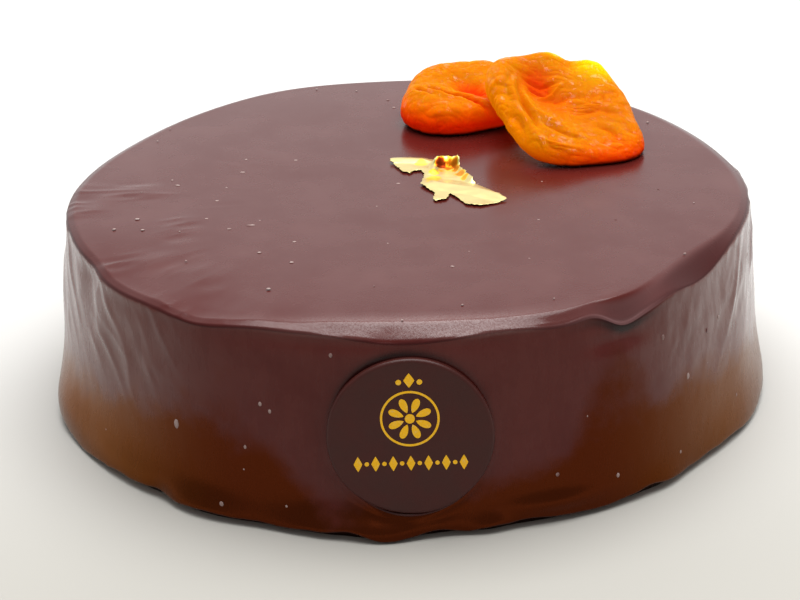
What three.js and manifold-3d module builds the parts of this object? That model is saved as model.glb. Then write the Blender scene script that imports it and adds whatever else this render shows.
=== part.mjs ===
// A whole Sachertorte: a round cake under a dark chocolate glaze, with a flat chocolate disc pressed
// against its front, and two dried apricots and a torn flake of gold leaf lying on top.
// Millimetres, +Z up, the origin on the underside at the cake's axis. The front, with the disc, faces -Y.
// Azimuths are in degrees about +Z, counted from +X, so the front is at 270.

import * as THREE from "three";
import { mergeVertices } from "three/addons/utils/BufferGeometryUtils.js";
import Module from "manifold-3d";

const wasm = await Module();
wasm.setup();

// ---- Driving dimensions ------------------------------------------------------------------------

const CAKE_HEIGHT = 50;
const FOOT_RADIUS = 89.2; // the glazed side at its foot
const SHOULDER_RADIUS = 85; // the glazed side just under the rounded rim
const RIM_CORNER = 1.1; // rounding where the side turns over into the rim
const RIM_DROOP = 1.9; // length over which the top's edge droops, where it droops least
const RIM_SLOPE = 22; // how steeply it droops there, in degrees
const RIM_SAG = 0.35; // how far the top falls towards the rim
const FOOT_LIFT = 1.6; // height of the ragged lower edge of the glaze
const FOOT_UNDERCUT = 2.4; // how far the base stands back under that edge
const HEM_ROUNDING = 0.7; // rounding of that edge

const DISC_RADIUS = 18.5;
const DISC_THICKNESS = 2.2;
const DISC_CENTRE_HEIGHT = 25;
const DISC_PROUD = 1.4; // how far the disc's face stands out of the side at its middle
const DISC_SHIFT = -0.7; // sideways from the front

const GAP = 0.3; // clearance between pieces that touch
const FOIL_THICKNESS = 0.35;

// ---- Small helpers -----------------------------------------------------------------------------

const radians = THREE.MathUtils.degToRad;

// Signed difference of two azimuths, in degrees, from -180 to 180.
const turnBetween = (a, b) => ((((a - b) % 360) + 540) % 360) - 180;

// A smooth hump of height 1 at 0, with the given half-width.
const hump = (distance, width) => Math.exp(-((distance / width) ** 2));

function solidOf(geometry) {
  const bare = new THREE.BufferGeometry();
  const loose = geometry.index ? geometry.toNonIndexed() : geometry;
  bare.setAttribute("position", loose.getAttribute("position"));
  const merged = mergeVertices(bare, 1e-4);
  const mesh = new wasm.Mesh({
    numProp: 3,
    vertProperties: merged.attributes.position.array,
    triVerts: new Uint32Array(merged.index.array),
  });
  return new wasm.Manifold(mesh);
}

function geometryOf(solid) {
  const mesh = solid.getMesh();
  const stride = mesh.numProp;
  const positions = new Float32Array(mesh.numVert * 3);
  for (let i = 0; i < mesh.numVert; i++) {
    positions.set(mesh.vertProperties.subarray(i * stride, i * stride + 3), i * 3);
  }
  const geometry = new THREE.BufferGeometry();
  geometry.setAttribute("position", new THREE.BufferAttribute(positions, 3));
  geometry.setIndex(new THREE.BufferAttribute(mesh.triVerts, 1));
  geometry.computeVertexNormals();
  return geometry;
}

// A closed body from rings of points stacked from a bottom pole to a top pole. Every ring has the same
// number of points, running anticlockwise seen from above.
function closedRings(bottomPole, rings, topPole) {
  const around = rings[0].length;
  const points = [bottomPole, ...rings.flat(), topPole];
  const top = points.length - 1;
  const at = (ring, i) => 1 + ring * around + (i % around);
  const faces = [];
  for (let i = 0; i < around; i++) {
    faces.push(0, at(0, i + 1), at(0, i));
    for (let ring = 0; ring + 1 < rings.length; ring++) {
      const [a, b] = [at(ring, i), at(ring, i + 1)];
      const [c, d] = [at(ring + 1, i + 1), at(ring + 1, i)];
      faces.push(a, b, c, a, c, d);
    }
    faces.push(top, at(rings.length - 1, i), at(rings.length - 1, i + 1));
  }
  const geometry = new THREE.BufferGeometry().setFromPoints(points);
  geometry.setIndex(faces);
  geometry.computeVertexNormals();
  return geometry;
}

function piece(name, geometry, colour, roughness, metalness = 0) {
  const material = new THREE.MeshStandardMaterial({ color: colour, roughness, metalness });
  const mesh = new THREE.Mesh(geometry, material);
  mesh.name = name;
  return mesh;
}

// ---- The glazed cake ---------------------------------------------------------------------------

// The hand-spread outline is round to within a millimetre or so: waves round the side, each with its
// number of crests, its size and the azimuth of one crest.
const OUTLINE_WAVES = [
  { crests: 6, size: 0.65, azimuth: 0 },
  { crests: 3, size: 0.35, azimuth: 70 },
  { crests: 2, size: 0.3, azimuth: 110 },
  { crests: 11, size: 0.15, azimuth: 10 },
];

// Where the rim droops more: azimuth of the middle, half-width in degrees, how much longer the droop
// is and how many degrees steeper.
const SOFT_RIM = [
  { azimuth: 322, width: 11.5, further: 5.6, steeper: 26 },
  { azimuth: 271, width: 16, further: 2.9, steeper: 14 },
  { azimuth: 130, width: 35, further: 2.2, steeper: 6 },
  { azimuth: 30, width: 30, further: 1.6, steeper: 4 },
];

// Where the rim's corner hangs lower, or higher if negative.
const RIM_DIPS = [
  { azimuth: 267, width: 9, lower: 1 },
  { azimuth: 293, width: 6, lower: 1.6 },
  { azimuth: 303, width: 3.6, lower: 3.6 },
  { azimuth: 308, width: 5, lower: 2.4 },
];

// Where the top slumps towards the rim.
const TOP_SLUMPS = [
  { azimuth: 220, width: 13, fall: 1.5 },
  { azimuth: 237, width: 7.5, fall: 1.5 },
  { azimuth: 251, width: 5, fall: 0.5 },
];

// Folds, dents and swellings of the glaze on the side: azimuth, half-width in degrees, height,
// half-height and how far each stands out of the side, or into it if negative.
const FOLDS = [
  { azimuth: 299, width: 4, height: 47, spread: 7, out: -0.9 },
  { azimuth: 290, width: 7, height: 5.5, spread: 2.2, out: 1 },
  { azimuth: 268, width: 8, height: 3.4, spread: 2, out: 0.9 },
  { azimuth: 198, width: 9, height: 7, spread: 5, out: 1.6 },
  { azimuth: 209, width: 4, height: 46, spread: 8, out: -0.8 },
  { azimuth: 219, width: 13, height: 50, spread: 16, out: 2.3 },
  { azimuth: 237, width: 8, height: 50, spread: 16, out: 1.8 },
  { azimuth: 335, width: 6, height: 20, spread: 12, out: 0.5 },
  { azimuth: 60, width: 12, height: 12, spread: 10, out: 0.7 },
  { azimuth: 110, width: 9, height: 30, spread: 14, out: -0.5 },
  { azimuth: 150, width: 10, height: 8, spread: 6, out: 0.8 },
  { azimuth: 216, width: 20, height: 1, spread: 8, out: 2.9 },
  { azimuth: 238, width: 7, height: 1, spread: 5, out: 1.8 },
  { azimuth: 260, width: 11, height: 1, spread: 5, out: 3 },
  { azimuth: 266, width: 4, height: 1, spread: 3, out: 1 },
  { azimuth: 310, width: 5, height: 1, spread: 4, out: 1 },
  { azimuth: 333, width: 13, height: 1, spread: 8, out: 1.8 },
  { azimuth: 197, width: 10, height: 1, spread: 9, out: 1.2 },
  { azimuth: 348, width: 12, height: 1, spread: 9, out: 1.2 },
  { azimuth: 114, width: 13, height: 45, spread: 30, out: 1.3 },
  { azimuth: 150, width: 16, height: 48, spread: 30, out: -1.3 },
  { azimuth: 172, width: 14, height: 50, spread: 14, out: -1.6 },
  { azimuth: 35, width: 16, height: 48, spread: 30, out: 0.9 },
  { azimuth: 10, width: 12, height: 50, spread: 14, out: -1 },
  { azimuth: 303, width: 5, height: 40.5, spread: 2.2, out: -0.9 },
];

// The ragged lower edge: waves of its height.
const HEM_WAVES = [
  { crests: 5, size: 0.3, azimuth: 30 },
  { crests: 9, size: 0.3, azimuth: 225 },
  { crests: 17, size: 0.3, azimuth: 262 },
];

// Where the lower edge rises or dips otherwise.
const HEM_BUMPS = [
  { azimuth: 196, width: 7, rise: 0.8 },
  { azimuth: 266, width: 3.5, rise: -1.6 },
  { azimuth: 287, width: 6, rise: 1 },
  { azimuth: 300, width: 4, rise: -0.5 },
];
const LOWEST_HEM = 0.4;

const waves = (list, azimuth) =>
  list.reduce((sum, w) => sum + w.size * Math.cos(radians(w.crests * (azimuth - w.azimuth))), 0);

// The sum of one value of every bump in a list, each faded out sideways from its own azimuth.
const sumOfBumps = (list, azimuth, value) =>
  list.reduce(
    (sum, bump) => sum + value(bump) * hump(turnBetween(azimuth, bump.azimuth), bump.width),
    0,
  );

function sideRadius(azimuth, height) {
  const lean = (FOOT_RADIUS - SHOULDER_RADIUS) * (1 - height / CAKE_HEIGHT);
  const folds = sumOfBumps(FOLDS, azimuth, (fold) => fold.out * hump(height - fold.height, fold.spread));
  return SHOULDER_RADIUS + lean + waves(OUTLINE_WAVES, azimuth) + folds;
}

const SIDE_LEAN = Math.atan((FOOT_RADIUS - SHOULDER_RADIUS) / CAKE_HEIGHT);

// The rim's profile from the side up to the top, as steps in and up from where the side ends.
function rimProfile(azimuth) {
  const steps = 3;
  const droop = RIM_DROOP + sumOfBumps(SOFT_RIM, azimuth, (soft) => soft.further);
  const slope = RIM_SLOPE + sumOfBumps(SOFT_RIM, azimuth, (soft) => soft.steeper);
  const upright = 90 - THREE.MathUtils.radToDeg(SIDE_LEAN);
  const corner = RIM_CORNER * radians(upright - slope);
  const profile = [[0, 0]];
  for (let step = 0; step < 2 * steps; step++) {
    const onCorner = step < steps;
    const share = ((step % steps) + 0.5) / steps;
    const tilt = onCorner
      ? THREE.MathUtils.lerp(upright, slope, THREE.MathUtils.smoothstep(share, 0, 1))
      : slope * (1 - THREE.MathUtils.smoothstep(share, 0.35, 1));
    const length = (onCorner ? corner : droop) / steps;
    const [inward, up] = profile.at(-1);
    profile.push([inward + length * Math.cos(radians(tilt)), up + length * Math.sin(radians(tilt))]);
  }
  return profile;
}

// The cake's outline at one azimuth, from the underside to near the middle of the top.
function cakeProfile(azimuth) {
  const sideSteps = 7;
  const topShares = [0.93, 0.68, 0.35];
  const bumps = sumOfBumps(HEM_BUMPS, azimuth, (bump) => bump.rise);
  const hem = Math.max(FOOT_LIFT + waves(HEM_WAVES, azimuth) + bumps, LOWEST_HEM);
  const low = hem + HEM_ROUNDING;
  const foot = sideRadius(azimuth, low);
  const rim = rimProfile(azimuth);
  const rise = rim.at(-1)[1];
  const lower = sumOfBumps(RIM_DIPS, azimuth, (dip) => dip.lower);
  const slump = sumOfBumps(TOP_SLUMPS, azimuth, (bump) => bump.fall);
  const high = CAKE_HEIGHT - RIM_SAG - slump - rise - lower;
  const shoulder = sideRadius(azimuth, high);
  const profile = [
    [foot - FOOT_UNDERCUT - GAP, 0],
    [foot - FOOT_UNDERCUT, 0.75 * hem],
    [foot - HEM_ROUNDING, hem],
    [foot, low],
  ];
  for (let step = 1; step <= sideSteps; step++) {
    const height = low + ((high - low) * step) / (sideSteps + 1);
    profile.push([sideRadius(azimuth, height), height]);
  }
  for (const [inward, up] of rim) {
    profile.push([shoulder - inward, high + up + (lower * up) / rise]);
  }
  const inner = profile.at(-1)[0];
  for (const share of topShares) {
    profile.push([inner * share, CAKE_HEIGHT - RIM_SAG * share ** 6 - slump * share ** 8]);
  }
  return profile;
}

function glazedCake() {
  const segments = 116;
  const azimuths = Array.from({ length: segments }, (_, i) => (360 * i) / segments);
  const profiles = azimuths.map(cakeProfile);
  const rings = profiles[0].map((_, ring) =>
    profiles.map((profile, i) => {
      const [radius, height] = profile[ring];
      const turn = radians(azimuths[i]);
      return new THREE.Vector3(radius * Math.cos(turn), radius * Math.sin(turn), height);
    }),
  );
  return closedRings(new THREE.Vector3(0, 0, 0), rings, new THREE.Vector3(0, 0, CAKE_HEIGHT));
}

// ---- The chocolate disc ------------------------------------------------------------------------

// A flat disc about +Z with a softened edge, its outer face at z = 0 and its body below.
function discGeometry(radius, thickness, edge) {
  const outline = [
    new THREE.Vector2(0, -thickness),
    new THREE.Vector2(radius - edge, -thickness),
    new THREE.Vector2(radius, -thickness + edge),
    new THREE.Vector2(radius, -edge),
    new THREE.Vector2(radius - edge, 0),
    new THREE.Vector2(0, 0),
  ];
  return new THREE.LatheGeometry(outline, 72).rotateX(Math.PI / 2);
}

// Carries a disc made about +Z to the front of the cake, leaning back with the side.
function ontoTheFront(geometry) {
  const faceRadius =
    FOOT_RADIUS + (SHOULDER_RADIUS - FOOT_RADIUS) * (DISC_CENTRE_HEIGHT / CAKE_HEIGHT) + DISC_PROUD;
  return geometry
    .rotateX(Math.PI / 2 - SIDE_LEAN)
    .translate(DISC_SHIFT, -faceRadius, DISC_CENTRE_HEIGHT);
}

// ---- The dried apricots ------------------------------------------------------------------------

// An apricot is made flat about its own middle, then turned and set down on the cake. Its radii and
// its rim's thicknesses are evenly spaced round it from +X. Its humps are ovals on the upper face,
// raised, or sunken if negative, and its creases are valleys along a path, with a low lip beside them.
const LEFT_APRICOT = {
  radii: [18, 16.5, 16.4, 17, 15.5, 15.5, 19.5, 20, 17.5, 18],
  thicknesses: [10, 10, 10.5, 11.5],
  middleThickness: 8.4,
  humps: [
    { x: 2, y: 5, azimuth: 0, length: 9, width: 4, out: 0.8 },
    { x: -6, y: -3, azimuth: 150, length: 5, width: 3, out: -0.6 },
  ],
  creases: [
    {
      path: [[-13, -1], [-9, -5], [-3, -5.5], [2, -7.5], [9, -11]],
      depth: 2.4,
      width: 1.9,
      lip: 0.4,
    },
  ],
  tilts: [5, 0],
  centre: [15.5, 52, 54.6],
};

const RIGHT_APRICOT = {
  radii: [19.5, 20.2, 23.8, 24.5, 25.5, 19, 17.2, 21, 22, 24.5],
  thicknesses: [9, 9, 9.5, 9.6, 8.4, 7.2, 6.6, 7],
  middleThickness: 6.4,
  humps: [
    { x: -7.2, y: 7.5, azimuth: 120, length: 8.5, width: 4.6, out: -1.8 },
    { x: 8, y: -2, azimuth: 0, length: 9, width: 8, out: -0.6 },
    { x: -16, y: -2, azimuth: 90, length: 6, width: 3, out: 0.5 },
    { x: 3, y: -13, azimuth: 20, length: 6, width: 2.4, out: 0.5 },
  ],
  creases: [
    {
      path: [[-12.6, 7], [-12.2, 2], [-10.8, -4], [-8.6, -8.6], [-7.6, -12]],
      depth: 1.5,
      width: 1.6,
      lip: 0.4,
    },
  ],
  tilts: [15, 10],
  centre: [41.3, 28.9, 57.2],
};

const SIT_SOFTNESS = 0.6; // rounding of a fruit's lower edge where it sits on something

// Values evenly spaced round a circle, joined by one smooth closed curve.
function smoothRound(values, azimuth) {
  const place = (((azimuth % 360) + 360) % 360) / (360 / values.length);
  const first = Math.floor(place);
  const [before, from, to, after] = [-1, 0, 1, 2].map(
    (step) => values[(first + step + values.length) % values.length],
  );
  const t = place - first;
  const [slopeFrom, slopeTo] = [(to - before) / 2, (after - from) / 2];
  const [t2, t3] = [t * t, t * t * t];
  return (
    (2 * t3 - 3 * t2 + 1) * from + (t3 - 2 * t2 + t) * slopeFrom +
    (3 * t2 - 2 * t3) * to + (t3 - t2) * slopeTo
  );
}

// Distance in plan from a point to a path, and how far along the path it is, 0 to 1.
function nearestOnPath(x, y, path) {
  let nearest = { distance: Infinity, along: 0 };
  for (let i = 0; i + 1 < path.length; i++) {
    const [ax, ay] = path[i];
    const [bx, by] = path[i + 1];
    const dot = (x - ax) * (bx - ax) + (y - ay) * (by - ay);
    const t = THREE.MathUtils.clamp(dot / ((bx - ax) ** 2 + (by - ay) ** 2), 0, 1);
    const distance = Math.hypot(x - ax - t * (bx - ax), y - ay - t * (by - ay));
    if (distance < nearest.distance) {
      nearest = { distance, along: (i + t) / (path.length - 1) };
    }
  }
  return nearest;
}

// How far the upper face stands out, or in, at a point in plan.
function fruitRelief(fruit, x, y) {
  let out = 0;
  for (const oval of fruit.humps) {
    const [cos, sin] = [Math.cos(radians(oval.azimuth)), Math.sin(radians(oval.azimuth))];
    const along = (x - oval.x) * cos + (y - oval.y) * sin;
    const across = (y - oval.y) * cos - (x - oval.x) * sin;
    out += oval.out * hump(along, oval.length) * hump(across, oval.width);
  }
  for (const crease of fruit.creases) {
    const { distance, along } = nearestOnPath(x, y, crease.path);
    const fade = Math.sqrt(Math.sin(Math.PI * (0.03 + 0.94 * along)));
    out -= crease.depth * fade * hump(distance, crease.width);
    out += crease.lip * fade * hump(distance - 2.2 * crease.width, 1.3 * crease.width);
  }
  return out;
}

const fruitTurn = (fruit) =>
  new THREE.Matrix4()
    .makeTranslation(...fruit.centre)
    .multiply(new THREE.Matrix4().makeRotationY(radians(fruit.tilts[1])))
    .multiply(new THREE.Matrix4().makeRotationX(radians(fruit.tilts[0])));

// Lets a height settle softly onto a floor: never below it, unchanged well above it.
const settle = (height, floor) =>
  floor + Math.max(height - floor, 0) +
  SIT_SOFTNESS * Math.log1p(Math.exp(-Math.abs(height - floor) / SIT_SOFTNESS));

// Stations from the middle of the underside, round the rim and back over the top: how far out across
// the flat each is, from 0 to 1, and how far round the rim it has turned, in degrees.
function fruitStations() {
  const evenly = (count, from, to) =>
    Array.from({ length: count }, (_, i) => from + ((to - from) * i) / (count - 1));
  return [
    ...evenly(3, 0.35, 0.85).map((out) => ({ out, bend: -90 })),
    ...evenly(7, -80, 80).map((bend) => ({ out: 1, bend })),
    ...evenly(8, 0.94, 0.14).map((out) => ({ out, bend: 90 })),
  ];
}

function driedApricot(fruit) {
  const around = 44;
  const turn = fruitTurn(fruit);
  const point = (azimuth, { out, bend }) => {
    const round = smoothRound(fruit.thicknesses, azimuth) / 2;
    const flat = smoothRound(fruit.radii, azimuth) - round;
    const [cos, sin] = [Math.cos(radians(bend)), Math.sin(radians(bend))];
    const radius = out * flat + (out < 1 ? 0 : round * cos);
    const middle = fruit.middleThickness / 2;
    const half = middle + (round - middle) * THREE.MathUtils.smoothstep(out, 0, 1);
    const direction = new THREE.Vector3(Math.cos(radians(azimuth)), Math.sin(radians(azimuth)), 0);
    const base = direction.clone().multiplyScalar(radius).setZ(half * sin);
    const upward = THREE.MathUtils.smoothstep(sin, -0.5, 0.7);
    const relief = fruitRelief(fruit, base.x, base.y) * upward;
    const outward = direction.multiplyScalar(out < 1 ? 0 : cos).setZ(sin);
    const turned = base.addScaledVector(outward, relief).applyMatrix4(turn);
    return turned.setZ(settle(turned.z, CAKE_HEIGHT + GAP));
  };
  const rings = fruitStations().map((station) =>
    Array.from({ length: around }, (_, i) => point((360 * i) / around, station)),
  );
  return { bottom: point(0, { out: 0, bend: -90 }), rings, top: point(0, { out: 0, bend: 90 }) };
}

// Presses a fruit down wherever it would reach into the flat underside of one lying on it.
function pressUnder(points, upper) {
  const turn = fruitTurn(upper);
  const back = turn.clone().invert();
  const underside = -Math.max(...upper.thicknesses) / 2 - GAP;
  for (const point of points) {
    const local = point.clone().applyMatrix4(back);
    local.z = -settle(-local.z, -underside);
    point.copy(local.applyMatrix4(turn));
  }
}

// ---- The gold leaf -----------------------------------------------------------------------------

// The torn outline of the flake in plan, anticlockwise from its left tip.
const FLAKE_OUTLINE = [
  [-4.2, 16.5],
  [-2.8, 12.4],
  [-1.2, 9],
  [0.8, 7.2],
  [2, 9],
  [3.8, 9.2],
  [4.5, 6.5],
  [4, 2.5],
  [3.4, -0.8],
  [5.5, -4.2],
  [7, -7],
  [6.4, -9.8],
  [6.8, -12],
  [9.4, -11.2],
  [10.8, -7.4],
  [12.6, -10.8],
  [14.2, -14.6],
  [18, -16],
  [22, -14.6],
  [24.6, -12.4],
  [21, -7.6],
  [17.2, -2],
  [15.6, 2.5],
  [13.8, 7.5],
  [13.2, 12],
  [10.4, 12.8],
  [8.6, 15.2],
  [4, 17.9],
  [0, 18.3],
  [-2.8, 17.5],
];

// Its folds: ridges along a path, with their half-width at the foot and their height.
const FLAKE_FOLDS = [
  { path: [[8, 11.6], [13, 12]], width: 2, height: 2.6 },
  { path: [[13.2, 11], [16, 1]], width: 2, height: 2 },
  { path: [[7.6, 11.6], [6, 3]], width: 2.4, height: 1.6 },
  { path: [[8, 0], [15, -3]], width: 3, height: 1 },
  { path: [[13, -12.5], [23, -12]], width: 3.2, height: 0.9 },
  { path: [[-3.6, 16.2], [4, 15.4]], width: 2.4, height: 0.9 },
];

const flakeHeight = (x, y) =>
  FLAKE_FOLDS.reduce((sum, { path, width, height }) => {
    const { distance } = nearestOnPath(x, y, path);
    return sum + height * Math.max(0, 1 - distance / width);
  }, CAKE_HEIGHT + GAP);

// A crumpled slab over the flake's box, cut to the torn outline.
function goldFlake() {
  const [left, right, front, back] = [-5, 25, -17, 19];
  const [columns, rows] = [16, 20];
  const corner = (i, j, lift) => {
    const x = left + ((right - left) * i) / columns;
    const y = front + ((back - front) * j) / rows;
    return new THREE.Vector3(x, y, flakeHeight(x, y) + lift);
  };
  const triangles = [];
  const quad = (a, b, c, d) => triangles.push(a, b, c, a, c, d);
  for (let i = 0; i < columns; i++) {
    for (let j = 0; j < rows; j++) {
      const cell = (lift) => [
        corner(i, j, lift),
        corner(i + 1, j, lift),
        corner(i + 1, j + 1, lift),
        corner(i, j + 1, lift),
      ];
      const [below, above] = [cell(0), cell(FOIL_THICKNESS)];
      quad(...above);
      triangles.push(below[0], below[2], below[1], below[0], below[3], below[2]);
      if (j === 0) quad(below[0], below[1], above[1], above[0]);
      if (j === rows - 1) quad(below[2], below[3], above[3], above[2]);
      if (i === 0) quad(below[3], below[0], above[0], above[3]);
      if (i === columns - 1) quad(below[1], below[2], above[2], above[1]);
    }
  }
  const slab = solidOf(new THREE.BufferGeometry().setFromPoints(triangles));
  const outline = new THREE.Shape(FLAKE_OUTLINE.map(([x, y]) => new THREE.Vector2(x, y)));
  const prism = new THREE.ExtrudeGeometry(outline, { depth: 20, bevelEnabled: false });
  prism.translate(0, 0, CAKE_HEIGHT);
  return geometryOf(slab.intersect(solidOf(prism)));
}

// ---- The whole cake ----------------------------------------------------------------------------

// Room for the disc in the glaze: the disc grown by the gap all round.
const discRoom = ontoTheFront(
  discGeometry(DISC_RADIUS + GAP, DISC_THICKNESS + 2 * GAP, 0.5).translate(0, 0, GAP),
);
const cake = solidOf(glazedCake()).subtract(solidOf(discRoom));

// The right apricot leans on the left one and presses it flat there.
const rightApricot = driedApricot(RIGHT_APRICOT);
const leftApricot = driedApricot(LEFT_APRICOT);
pressUnder([leftApricot.bottom, ...leftApricot.rings.flat(), leftApricot.top], RIGHT_APRICOT);
const fruitGeometry = ({ bottom, rings, top }) => closedRings(bottom, rings, top);

const whole = new THREE.Group();
whole.add(
  piece("cake", geometryOf(cake), 0x3d1e1c, 0.4),
  piece("chocolate_disc", ontoTheFront(discGeometry(DISC_RADIUS, DISC_THICKNESS, 0.4)), 0x3a1f1c, 0.45),
  piece("apricot_left", fruitGeometry(leftApricot), 0xe07a1c, 0.35),
  piece("apricot_right", fruitGeometry(rightApricot), 0xe87a10, 0.35),
  piece("gold_leaf", goldFlake(), 0xf0d878, 0.25, 1),
);

export default whole;
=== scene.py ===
"""A whole Sachertorte: a round cake under a dark chocolate glaze, with a gilded chocolate disc on its
front, two dried apricots and a torn flake of gold leaf on top.

Sizes are in millimetres, unless a name says otherwise, and meshes are turned to metres as they are
made. The front of the cake faces -Y. Azimuths are in degrees about +Z, counted from +X."""

import bpy
import numpy as np
from mathutils import Matrix, Vector
from mathutils.geometry import delaunay_2d_cdt


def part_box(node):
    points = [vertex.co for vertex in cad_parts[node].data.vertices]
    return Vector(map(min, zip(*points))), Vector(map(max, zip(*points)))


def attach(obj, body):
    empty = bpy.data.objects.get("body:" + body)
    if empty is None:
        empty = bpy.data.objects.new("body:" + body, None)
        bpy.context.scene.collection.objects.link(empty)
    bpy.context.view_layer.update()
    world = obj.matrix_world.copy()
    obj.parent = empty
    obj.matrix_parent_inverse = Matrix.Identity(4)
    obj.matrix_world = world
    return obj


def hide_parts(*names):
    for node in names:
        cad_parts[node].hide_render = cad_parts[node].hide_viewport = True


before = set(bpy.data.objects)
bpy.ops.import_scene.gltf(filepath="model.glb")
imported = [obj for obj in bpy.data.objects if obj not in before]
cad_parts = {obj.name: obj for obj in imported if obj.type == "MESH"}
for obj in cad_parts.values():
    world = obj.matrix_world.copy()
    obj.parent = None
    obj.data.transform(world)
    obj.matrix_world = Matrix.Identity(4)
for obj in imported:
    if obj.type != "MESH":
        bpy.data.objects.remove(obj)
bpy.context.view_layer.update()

bl_info = {
    "name": "Sachertorte",
    "version": (1, 0, 0),
    "blender": (4, 5, 0),
    "location": "3D View > Sidebar > Torte",
    "description": "Makes a glazed chocolate cake with dried apricots and gold leaf",
    "category": "Add Mesh",
}

MM = 0.001


def node_box(name):
    """A node's lowest and highest corners, in millimetres."""
    return [np.array(corner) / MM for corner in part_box(name)]


def within(name, shares):
    """The point that lies at these shares of the way across a node's box."""
    low, high = node_box(name)
    return low + (high - low) * np.array(shares)


# ---- Sizes that come from the frame ------------------------------------------------------------

CAKE_LOW, CAKE_HIGH = node_box("cake")
DISC_LOW, DISC_HIGH = node_box("chocolate_disc")
CAKE_HEIGHT = CAKE_HIGH[2]
OUTLINE_REACH = 0.6
LEAN_IN = 4.2
FOOT_RADIUS = (CAKE_HIGH[0] - CAKE_LOW[0]) / 2 - OUTLINE_REACH
SHOULDER_RADIUS = FOOT_RADIUS - LEAN_IN
SIDE_LEAN = np.arctan(LEAN_IN / CAKE_HEIGHT)
DISC_RADIUS = (DISC_HIGH[0] - DISC_LOW[0]) / 2
DISC_THICKNESS = 2.2
DISC_MIDDLE = (DISC_LOW + DISC_HIGH) / 2

# ---- The glazed cake's form --------------------------------------------------------------------

AROUND = 800
SIDE_STEPS = 62
RIM_STEPS = 11
TOP_STEPS = 30
RIM_CORNER = 1.1
RIM_DROOP = 1.9
RIM_SLOPE = 22
RIM_SAG = 0.35
FOOT_LIFT = 1.6
FOOT_UNDERCUT = 2.4
HEM_ROUNDING = 0.5
LEAST_HEM = 0.4

# Waves round the side: crests, size and the azimuth of one crest.
OUTLINE_WAVES = [(6, 0.65, 0), (3, 0.35, 70), (2, 0.3, 110), (11, 0.15, 10)]
HEM_WAVES = [(5, 0.3, 30), (9, 0.3, 225), (17, 0.3, 262), (31, 0.12, 5), (53, 0.1, 70)]

# Where the rim droops otherwise: azimuth, half-width in degrees, further in and steeper by degrees.
SOFT_RIM = [
    (322, 11.5, 5.6, 26),
    (271, 16, 2.9, 14),
    (130, 35, 2.2, 6),
    (30, 30, 1.6, 4),
]

# The slope holds on further towards the top along the rim's front: azimuth, half-width, how much.
LONG_SLOPE = [(268, 26, 0.3)]

# Where the rim's corner hangs lower: azimuth, half-width in degrees, how far.
RIM_DIPS = [(267, 9, 1.0), (293, 6, 1.6), (303, 3.6, 3.6), (308, 5, 2.4)]

# Where the top slumps towards the rim: azimuth, half-width in degrees, how far.
TOP_SLUMPS = [(220, 13, 1.5), (237, 7.5, 1.5), (251, 5, 0.5)]

# Below this height the side gets a painted warm brown reflection, as of a gold board under the cake,
# over this much height, and where it does so higher: azimuth, half-width in degrees, how much higher.
BROWN_REFLECTION_BELOW = 12
BROWN_REFLECTION_FADE = 10
BROWN_REFLECTION_RISES = [
    (204, 16, 6), (332, 16, 9), (238, 18, 15), (257, 8, -10), (301, 6.5, 20), (310, 16, 9),
]

# Where the rim catches light, so that less painted shade falls where it turns: azimuth, half-width,
# slope.
LIT_RIM = [(268, 26, 16), (304, 8, 26)]

# Where colour is painted on the rim: a painted highlight on its front, painted sheen on the lip that
# hangs at its right, and painted shade under that lip: azimuth, half-width in degrees.
BRIGHT_RIM = (272, 20)
LIP_SHEEN = (304, 9)
UNDER_LIP_SHADE = (303, 6)

# Folds and dents: azimuth, half-width in degrees, height, half-height, how far out.
FOLDS = [
    (299, 4, 47, 7, -0.9),
    (290, 7, 5.5, 2.2, 1.0),
    (268, 8, 3.4, 2.0, 0.9),
    (198, 9, 7, 5, 1.6),
    (209, 4, 46, 8, -0.8),
    (219, 13, 50, 16, 2.3),
    (237, 8, 50, 16, 1.8),
    (335, 6, 20, 12, 0.5),
    (60, 12, 12, 10, 0.7),
    (110, 9, 30, 14, -0.5),
    (150, 10, 8, 6, 0.8),
    (216, 20, 1, 8, 2.9),
    (238, 7, 1, 5, 1.8),
    (229.5, 2.5, 1, 3, -0.8),
    (260, 11, 1, 5, 3.0),
    (266, 4, 1, 3, 1.0),
    (281, 3, 1, 3, 1.2),
    (310, 5, 1, 4, 1.0),
    (333, 13, 1, 8, 1.8),
    (197, 10, 1, 9, 1.2),
    (348, 12, 1, 9, 1.2),
    (114, 13, 45, 30, 1.3),
    (150, 16, 48, 30, -1.3),
    (172, 14, 50, 14, -1.6),
    (35, 16, 48, 30, 0.9),
    (10, 12, 50, 14, -1.0),
    (262, 26, 46, 2.2, -0.35),
    (212, 20, 45, 2.4, -0.4),
    (303, 5, 40.5, 2.2, -0.9),
]

# Where the hem rises or dips: azimuth, half-width in degrees, rise.
HEM_BUMPS = [
    (228.8, 2.0, 0.9), (266, 3.5, -1.6), (273, 3, 0.7), (287, 6, 1.0), (300, 4, -0.5), (196, 7, 0.8),
]

# The lip of glaze round the disc: the azimuths on the disc where it ends, its steps, how far off the
# disc it runs and how thick it is.
LIP_ENDS = (165, 375)
LIP_STEPS = 120
LIP_GAP = 0.25
LIP_SIZE = 0.32
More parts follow.
